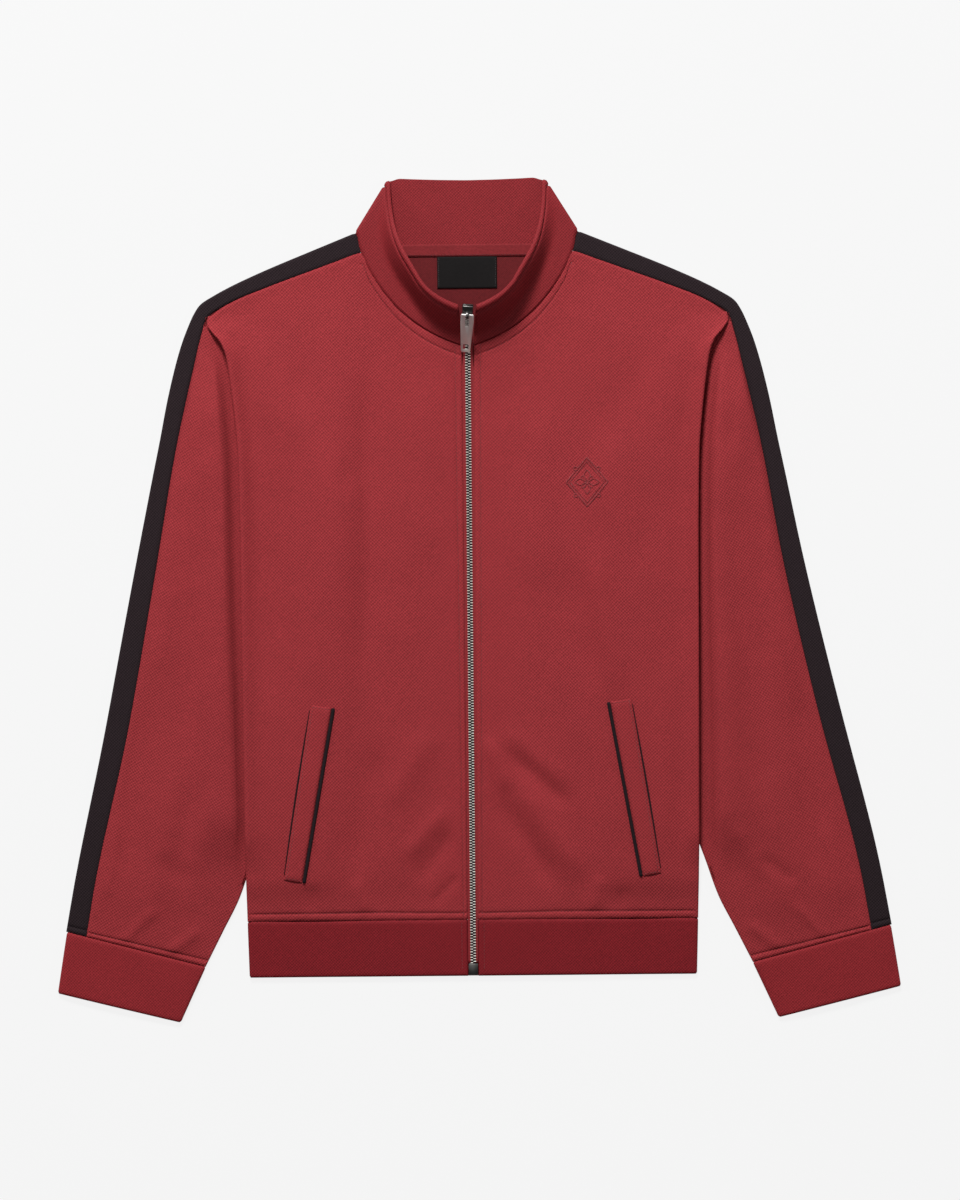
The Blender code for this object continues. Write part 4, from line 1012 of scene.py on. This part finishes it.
def make_stripe(side, word):
    sections = shoulder_sections() + stripe_sections(SLEEVE_STATIONS)
    cloth = Surface([arm_row(stripe_row(section), side) for section in sections], 2.0,
                    (0.6, -TOPSTITCH_CUFF, -0.6), (0.6,))
    on_top = cloth.z > SHOULDER_FOLD - 0.5
    cloth.z += 0.16 * ripple(cloth.x, cloth.y, 34.0, 80 + side) * on_top * smooth(cloth.first / 4.0)
    cloth.grow(first=0.4, foot=0.4, top=3.0)
    cloth.edge(first=0.7, foot=0.7)
    cloth.groove(cloth.foot - TOPSTITCH_CUFF, 0.8, 1.1)
    cloth.pinch = cloth.pinch * on_top
    cloth.edge(top=0.6)
    cloth.shell("cloth_stripe_" + word, CLOTH, "stripe", "stripe_" + word, side_up=(0.5, 0.02))
    # the cut edges of the cloth, pressed flat under the stripe's inner seam
    rows = []
    for section in sections:
        outer, seam = Vector(section[:2]), Vector(section[2:])
        ends = [(reach, SHOULDER_FOLD - CLOTH - 0.2) for reach in (5.0, 0.0, -5.0)]
        rows.append(arm_row(across(seam, outer, ends), side))
    Surface(rows, 4.0).shell("seam_allowance_" + word, 0.6, "inside")


def make_cuff(side, word):
    cloth = Surface([arm_row(row, side) for row in cuff_rows()], 2.2, (0.6, -0.6), closed=True)
    x, y = cloth.x, cloth.y
    on_top = smooth((cloth.z - CUFF_FOLD / 2.0 - 0.8) / 1.2)
    pucker = ripple(x, 0.3 * y, 12.0, 90 + side) * bell(cloth.top, 18.0) * smooth(cloth.top / 3.0)
    cloth.z += (0.30 * pucker + 0.35 * ripple(x, y, 48.0, 95 + side)) * on_top
    cloth.edge(top=0.8)
    cloth.edge(1.0, foot=1.0)
    cloth.shell("cloth_cuff_" + word, BAND, "cuff", "cuff_" + word, side_up=(0.5, 0.25))


# ---- the flat underside

def make_underside():
    """Back panel, back of the hem band and undersides of the sleeves, which lie flat on the floor."""
    back = Surface(back_rows(), 5.0, (0.6, -0.6))
    back.grow(first=2.5, last=2.5)
    back.edge(top=0.5)
    back.shell("cloth_back", CLOTH, "inside", "back_panel")
    rows = []
    for level in BAND_DEPTHS:
        y = mix(HEM_SEAM_Y, HEM_Y, level)
        edge = side_seam_x(y) - SEAM
        rows.append([(x, y, BAND) for x in np.linspace(-edge, edge, 9)])
    band = Surface(rows, 5.0, (0.6, -0.6))
    band.edge(foot=0.8)
    band.shell("cloth_hem_back", BAND, "band", "hem_band_back")
    for side, word in SIDES:
        rows = [arm_row(sleeve_back_row(*section[:2]), side) for section in sleeve_sections()]
        Surface(rows, 5.0, column_marks=(0.6,)).shell(
            "cloth_sleeve_back_" + word, CLOTH, "sleeve_" + word, "sleeve_back_" + word, facing=-1.0)


# ---- collar and neck

COLLAR_STITCH = 7.4      # stitching below the collar's edge


def make_collar():
    """Makes the collar and returns the stitches along its edge."""
    half = collar_half()
    columns = half + [mirrored(column, -1) for column in half[-2::-1]]
    cloth = Surface(columns, 1.9, (0.6, -0.6), (0.6, -0.6, -COLLAR_STITCH))
    x, y, z = cloth.x, cloth.y, cloth.z
    standing = smooth(cloth.top / 10.0) * smooth(cloth.foot / 10.0)
    front = smooth((COLLAR_FOLD * 2.0 - 3.0 - z + 20.0 * (y < 360.0)) / 4.0)
    wave = ripple(x, y, 46.0, 120) * np.sin(math.pi * (cloth.first / cloth.c[-1])) * standing
    cloth.z += 0.9 * wave * np.clip((z - 6.0) / 8.0, 0.0, 1.0) * front
    cloth.grow(first=1.3)
    cloth.edge(1.0, first=1.2, top=1.1, foot=1.1)
    cloth.edge(1.3, last=1.6)
    cloth.groove(cloth.last - COLLAR_STITCH, 1.6, 1.0)
    cloth.shell("cloth_collar", COLLAR, "collar", "collar", side_up=(0.08, 0.15))
    line = grid_line(cloth, column=cloth.c[-1] - COLLAR_STITCH, first=0.02, last=0.98, every=3)
    return stitch_ends(line, STITCH_PITCH)


def soft_plate(name, rows, look, node):
    """A thin piece through rows of points, with rounded edges."""
    plate = Surface(rows, 1.6, (0.5, -0.5), (0.5, -0.5))
    plate.edge(0.7, top=0.45, foot=0.45, first=0.45, last=0.45)
    plate.shell(name, TRIM, look, node)
    return plate


def make_neck_trim():
    low, high, half = TAPE
    xs = np.linspace(-half, half, 9)
    top = CLOTH + GAP + TRIM
    levels = ((high + 3.4, top + 0.55), (high, top + 0.3), (mix(low, high, 0.5), top + 0.15), (low, top))
    rows = [[(x, y, z) for x in xs] for y, z in levels]
    tape = soft_plate("neck_tape_cloth", rows, "neck_tape", "neck_tape")
    stitches("stitch_neck_tape", [(x, low + 1.3, 0.0) for x in xs[1:-1]], tape, 2.6)
    low, high, half = LABEL
    rows = [[(x, y, top) for x in np.linspace(-half, half, 5)] for y in (high, low)]
    label = soft_plate("neck_label_cloth", rows, "label", "neck_label")
    for index, x in enumerate((-half + 1.4, half - 1.4)):
        line = [(x, low + 1.2, 0.0), (x, high - 1.2, 0.0)]
        stitches("stitch_label_%d" % index, line, label, 2.0, "thread_dark")


# ---- pockets

WELT_RISE = {1: 3.4, -1: 0.0}     # the wearer's left pocket lies a little higher


def on_front(side, shares, parts, place):
    """Rows of points laid on the front down a welt; place gives x, y and height over the front."""
    top, foot = WELT_SECTIONS
    rows = []
    for share in shares:
        inner, outer = mix(top.inner_x, foot.inner_x, share), mix(top.outer_x, foot.outer_x, share)
        y = mix(top.y, foot.y, share) + WELT_RISE[side]
        row = []
        for part in parts:
            x, level, lift = place(inner, outer, y, part, share)
            row.append((side * x, level, MADE["front", side].height(side * x, level) + lift))
        rows.append(row)
    return rows


def welt_place(inner, outer, y, part, share):
    return mix(inner, outer, part), y + WELT_SKEW * (part - 0.5), CLOTH + 0.35


def piping_place(inner, outer, y, part, share):
    arch = math.sqrt(max(1.0 - (2.0 * part - 1.0) ** 2, 0.0))
    return inner - SEAM - PIPING_WIDTH * part, y - 1.4 - 0.6 * part, 0.7 + 1.1 * arch


def mouth_shadow_place(inner, outer, y, part, share):
    """A dark strip along the welt's outer side, where it stands off the front: painted shadow of the
    pocket's opening.
    """
    bow = math.sin(math.pi * share)
    return outer + 0.1 + (0.5 + 1.1 * bow) * part, y + WELT_SKEW * 0.5, 0.42


def make_pocket(side, word):
    rows = on_front(side, np.linspace(0.0, 1.0, 9), (0.0, 0.2, 0.4, 0.6, 0.8, 1.0), welt_place)
    cloth = Surface(rows, 1.7, (0.6, 2.0, -2.0, -0.6), (0.6, -0.6, -2.0))
    cloth.edge(1.2, top=0.85, foot=0.85, first=0.85, last=0.85)
    cloth.groove(cloth.last - 2.2, 0.3)
    cloth.groove(cloth.top - 2.0, 0.25)
    cloth.groove(cloth.foot - 2.0, 0.25)
    crown = np.sin(math.pi * cloth.c / cloth.c[-1])[None, :]
    cloth.z += 0.35 * crown + 0.12 * ripple(cloth.x, cloth.y, 30.0, 150)
    cloth.shell("cloth_welt_" + word, CLOTH, "body", "pocket_welt_" + word)
    line = [(p[0] - side * 2.2, p[1], p[2]) for p in cloth.outer[3:-3:6, -1]]
    stitches("stitch_welt_" + word, line, cloth, 2.7)
    for name, row in (("top", 3), ("foot", -4)):
        stitches("stitch_welt_%s_%s" % (name, word), cloth.outer[row, 2:-2:4], cloth, 2.7)
    rows = on_front(side, np.linspace(0.0, 1.0, 28), np.linspace(0.0, 1.0, 9), piping_place)
    piping = Surface(rows, 2.0, (0.6, -0.6))
    piping.edge(0.8, top=0.5, foot=0.5)
    piping.shell("piping_" + word, 0.7, "piping", "pocket_piping_" + word)
    # a dark strip beside each welt: painted shadow of the pocket's opening
    rows = on_front(side, np.linspace(0.03, 0.97, 20), (0.0, 0.5, 1.0), mouth_shadow_place)
    Surface(rows, 2.4).shell("pocket_mouth_" + word, 0.35, "piping")


# ---- stitching and embroidery

def resampled(points, pitch):
    """Points at even distances along a line of points."""
    line = np.array(points, dtype=float)
    where = distances(line)
    return at_places(np.linspace(0.0, where[-1], max(2, int(round(where[-1] / pitch)) + 1)), where, line)


STITCH_PITCH = 3.1
STITCH_SPAN = (0.13, 0.87)     # where the thread comes up and goes down again in each pitch


def stitch_ends(line, pitch):
    """Start and end of each stitch along a line of points."""
    points = resampled(line, pitch)
    return [[a + (b - a) * share for share in STITCH_SPAN] for a, b in zip(points[:-1], points[1:])]


def thread_mesh(name, pieces, radius=0.24, look="thread"):
    """Many short threads in one mesh: each runs from one point to another and swells between."""
    verts, faces = [], []
    for start, end in pieces:
        start, end = np.array(start, dtype=float), np.array(end, dtype=float)
        run = end - start
        side = np.array([-run[1], run[0], 0.0])
        side /= max(np.linalg.norm(side), 1e-6)
        base = len(verts)
        verts += [start, end]
        for share in (0.22, 0.78):
            for sideways, up in ((1.0, 0.0), (0.0, 1.0), (-1.0, 0.0), (0.0, -1.0)):
                swell = side * sideways * radius + np.array([0.0, 0.0, up * radius])
                verts.append(start + run * share + swell)
        for k in range(4):
            a, b = base + 2 + k, base + 2 + (k + 1) % 4
            faces += [(base, b, a), (a, b, b + 4), (a, b + 4, a + 4), (base + 1, a + 4, b + 4)]
    new_mesh(name, verts, faces, look)


def stitches(name, line, cloth, pitch=STITCH_PITCH, look="thread"):
    """A row of sewn stitches along a line, lying on the cloth."""
    pieces = [[(p[0], p[1], cloth.height(*p) + 0.05) for p in ends] for ends in stitch_ends(line, pitch)]
    thread_mesh(name, pieces, look=look)


def grid_line(cloth, row=None, column=None, first=0.0, last=1.0, every=4):
    """Points of the outer face along the grid line nearest a row or column distance."""
    if row is not None:
        line, places = cloth.outer[np.argmin(np.abs(cloth.r - row))], cloth.c
    else:
        line, places = cloth.outer[:, np.argmin(np.abs(cloth.c - column))], cloth.r
    return line[(places >= first * places[-1]) & (places <= last * places[-1])][::every]


def make_stitching(side, word):
    front, band, sleeve = [MADE[kind, side] for kind in ("front", "band", "sleeve")]
    side_share, neck_share = front.column_knots[[FRONT_TOP_COLUMN, NECK_COLUMNS - 1]] / front.c[-1]
    hem, cuff = front.r[-1] - TOPSTITCH_HEM, sleeve.r[-1] - TOPSTITCH_CUFF
    cuff_line = grid_line(sleeve, row=cuff, first=0.02, every=2)
    rows = (("zip", front, grid_line(front, column=TOPSTITCH_ZIP)),
            ("hem", front, grid_line(front, row=hem, first=0.02, last=side_share - 0.01)),
            ("neck", front, grid_line(front, row=TOPSTITCH_NECK, first=0.03, last=neck_share)),
            ("band", band, grid_line(band, column=TOPSTITCH_ZIP, first=0.03, last=0.96, every=2)),
            ("cuff", sleeve, cuff_line[cuff_line[:, 2] > SLEEVE_PRESSED]))
    for seam, cloth, line in rows:
        stitches("stitch_%s_%s" % (seam, word), line, cloth)


MOTIF_CENTRE = (108.6, 109.0)
MOTIF_HALF = (19.0, 22.5)      # half width and half height of the outer lozenge
SATIN_PITCH = 0.5


def satin(line, width):
    """Threads laid side by side across a closed or open line."""
    points = resampled([(x, y, 0.0) for x, y in line], SATIN_PITCH)
    pieces = []
    for a, b in zip(points[:-1], points[1:]):
        run = (b - a)[:2] / max(np.linalg.norm((b - a)[:2]), 1e-6)
        half = np.array([-run[1], run[0]]) * width / 2.0
        pieces.append((a[:2] - half, a[:2] + half))
    return pieces


def petal(turn, near, far, half):
    """Outline of a pointed petal, from near the centre outward."""
    line = [(mix(near, far, share), half * math.sin(math.pi * share)) for share in np.linspace(0.0, 1.0, 15)]
    line += [(x, -y) for x, y in reversed(line)]
    cos, sin = math.cos(turn), math.sin(turn)
    return [(x * cos - y * sin, x * sin + y * cos) for x, y in line]


def make_motif():
    """A plain lozenge with a four-petal flower and a bead at each side, in thread of the cloth's colour."""
    half_x, half_y = MOTIF_HALF
    pieces = []
    for scale, width in ((1.0, 1.5), (0.84, 0.8)):
        corners = [(half_x * scale * x, half_y * scale * y) for x, y in ((1, 0), (0, 1), (-1, 0), (0, -1))]
        for a, b in zip(corners, corners[1:] + corners[:1]):
            pieces += satin([a, b], width)
    for index in range(4):
        straight, slanted = math.radians(90.0 * index), math.radians(90.0 * index + 45.0)
        pieces += satin(petal(straight, 1.2, 11.2, 2.9), 0.9)
        pieces += satin(petal(slanted, 1.2, 7.6, 1.6), 0.7)
        x, y = half_x * 0.62 * math.cos(slanted) * 1.25, half_y * 0.62 * math.sin(slanted) * 1.25
        bead = [(x + 1.7 * math.cos(a), y + 1.7 * math.sin(a)) for a in np.linspace(0.0, 2.0 * math.pi, 13)]
        pieces += satin(bead, 1.1)
    placed = []
    for piece in pieces:
        ends = [end + np.array(MOTIF_CENTRE) for end in piece]
        placed.append([(x, y, MADE["front", 1].height(x, y) + 0.3) for x, y in ends])
    thread_mesh("motif_embroidery", placed, 0.34, "motif")


# ---- zip

TOOTH_PITCH = 2.5
TOOTH = (2.6, 0.9, 1.7)       # across, along and through the chain


def bevelled_block(size, bevel, taper):
    """Vertices and faces of a small block with bevelled edges, narrower towards minus X."""
    block = bmesh.new()
    bmesh.ops.create_cube(block, size=1.0)
    for vertex in block.verts:
        vertex.co = Vector([c * s for c, s in zip(vertex.co, size)])
        if vertex.co.x < 0.0:
            vertex.co.y *= taper
    bmesh.ops.bevel(block, geom=block.edges[:], offset=bevel, segments=1, affect="EDGES")
    bmesh.ops.recalc_face_normals(block, faces=block.faces)
    block.verts.index_update()
    verts = np.array([v.co for v in block.verts])
    faces = [tuple(v.index for v in face.verts) for face in block.faces]
    block.free()
    return verts, faces


def make_teeth():
    """Two rows of metal teeth that meet in the middle, half a pitch apart."""
    verts, faces = [], []
    block, block_faces = bevelled_block(TOOTH, 0.28, 0.72)
    depth = CHAIN_DEPTH[0] + TOOTH[2] / 2.0 - 0.1
    where = distances(ZIP_LINE[:, :2])
    places = at_places(np.arange(0.0, where[-1], TOOTH_PITCH / 2.0), where, ZIP_LINE)
    for index, (y, z, ny, nz) in enumerate(places):
        side = 1.0 if index % 2 else -1.0
        base = len(verts)
        for bx, by, bz in block:
            x = side * (CHAIN_HALF - TOOTH[0] / 2.0 + bx)
            verts.append((x, y + by * nz + (bz - depth) * ny, z - by * ny + (bz - depth) * nz))
        faces += [tuple(base + k for k in face) for face in block_faces]
    teeth = new_mesh("zip_teeth", verts, faces, "teeth", "zip_chain", recalculate=False)
    teeth.data.shade_flat()
    rows = [[(x, y - ny * 1.3, z - nz * 1.3) for x in (-2.2, 0.0, 2.2)] for y, z, ny, nz in ZIP_LINE]
    Surface(rows, 2.4).shell("zip_core", 0.5, "core")


def make_zip_tape(side, word):
    wide, narrow = TAPE_EDGES
    upper, under = TAPE_DEPTH
    rows = []
    for y, z, ny, nz in ZIP_LINE:
        reach = smooth((y - HEM_SEAM_Y - 3.0) / 6.0) * (1.0 - smooth((y - 200.0) / 20.0))
        outer = mix(narrow, wide, reach)
        xs = [side * mix(0.15, outer, t) for t in (0.0, 0.25, 0.5, 1.0)]
        rows.append([(x, y - ny * upper, z - nz * upper) for x in xs])
    Surface(rows, 2.4).shell("zip_tape_cloth_" + word, under - upper, "tape", "zip_tape_" + word)


def hard_copy(node, name, look, body, bevel):
    """The node's solid with softened edges and a worn metal finish."""
    mesh = frame["nodes"][node].data.copy()
    mesh.name = name
    fix = bmesh.new()
    fix.from_mesh(mesh)
    bmesh.ops.remove_doubles(fix, verts=fix.verts, dist=0.00002)
    bmesh.ops.dissolve_limit(fix, angle_limit=math.radians(1.0), verts=fix.verts, edges=fix.edges)
    fix.to_mesh(mesh)
    fix.free()
    mesh.materials.clear()
    soften = dress(name, mesh, look, node, body).modifiers.new("edges", "BEVEL")
    soften.width = bevel * MM
    soften.segments = 2
    soften.limit_method = "ANGLE"
    soften.angle_limit = math.radians(40.0)


# ---- the cut of the cloth

# in metres, as cut, without seam allowance; no area where the cut is a rectangle; %s is left, then right
Sheet = namedtuple("Sheet", "piece width length area held lies_on")
SHEETS = [Sheet(*row) for row in (
    ("cloth_front_%s", 0.329, 0.620, 0.1570, "laid", "cloth_back"),
    ("cloth_back", 0.502, 0.620, 0.1870, "laid", "back_panel"),
    ("cloth_sleeve_%s", 0.160, 0.655, 0.0760, "laid", "cloth_sleeve_back_%s"),
    ("cloth_sleeve_back_%s", 0.158, 0.650, 0.0723, "laid", "sleeve_back_%s"),
    ("cloth_stripe_%s", 0.044, 0.756, 0.0281, "folded", "seam_allowance_%s"),
    ("seam_allowance_%s", 0.010, 0.742, None, "laid", "stripe_%s"),
    ("cloth_cuff_%s", 0.266, 0.058, 0.0143, "folded", "cuff_%s"),
    ("cloth_hem_%s", 0.260, 0.0525, 0.0135, "folded", "cloth_hem_back"),
    ("cloth_hem_back", 0.3055, 0.052, None, "laid", "hem_band_back"),
    ("cloth_collar", 0.070, 0.520, 0.0261, "folded", "cloth_back"),
    ("neck_tape_cloth", 0.0112, 0.160, None, "laid", "cloth_back"),
    ("neck_label_cloth", 0.055, 0.0292, None, "laid", "cloth_back"),
    ("cloth_welt_%s", 0.0195, 0.163, 0.0030, "laid", "cloth_front_%s"),
    ("zip_tape_cloth_%s", 0.015, 0.613, 0.0079, "laid", "cloth_back"),
)]


def declare_cloth():
    for sheet in SHEETS:
        for word in ("left", "right") if "%s" in sheet.piece else ("",):
            bpy.data.objects[sheet.piece.replace("%s", word)]
            sheet.lies_on.replace("%s", word)


def main():
    make_camera()
    make_lights()
    make_floor()
    for side, word in SIDES:
        for make in (make_front, make_band, make_sleeve, make_stripe, make_cuff, make_pocket):
            make(side, word)
    collar_stitches = make_collar()
    make_neck_trim()
    for side, word in SIDES:
        make_stitching(side, word)
    thread_mesh("stitch_collar", collar_stitches)
    make_motif()
    make_teeth()
    for side, word in SIDES:
        make_zip_tape(side, word)
    hard_copy("zip_slider", "slider_body", "slider", JACKET, 0.25)
    hard_copy("zip_pull_tab", "puller", "puller", "pull_tab", 0.22)
    hard_copy("zip_bottom_box", "bottom_box", "slider", JACKET, 0.3)
    make_underside()
    declare_cloth()


main()
bpy.context.view_layer.update()
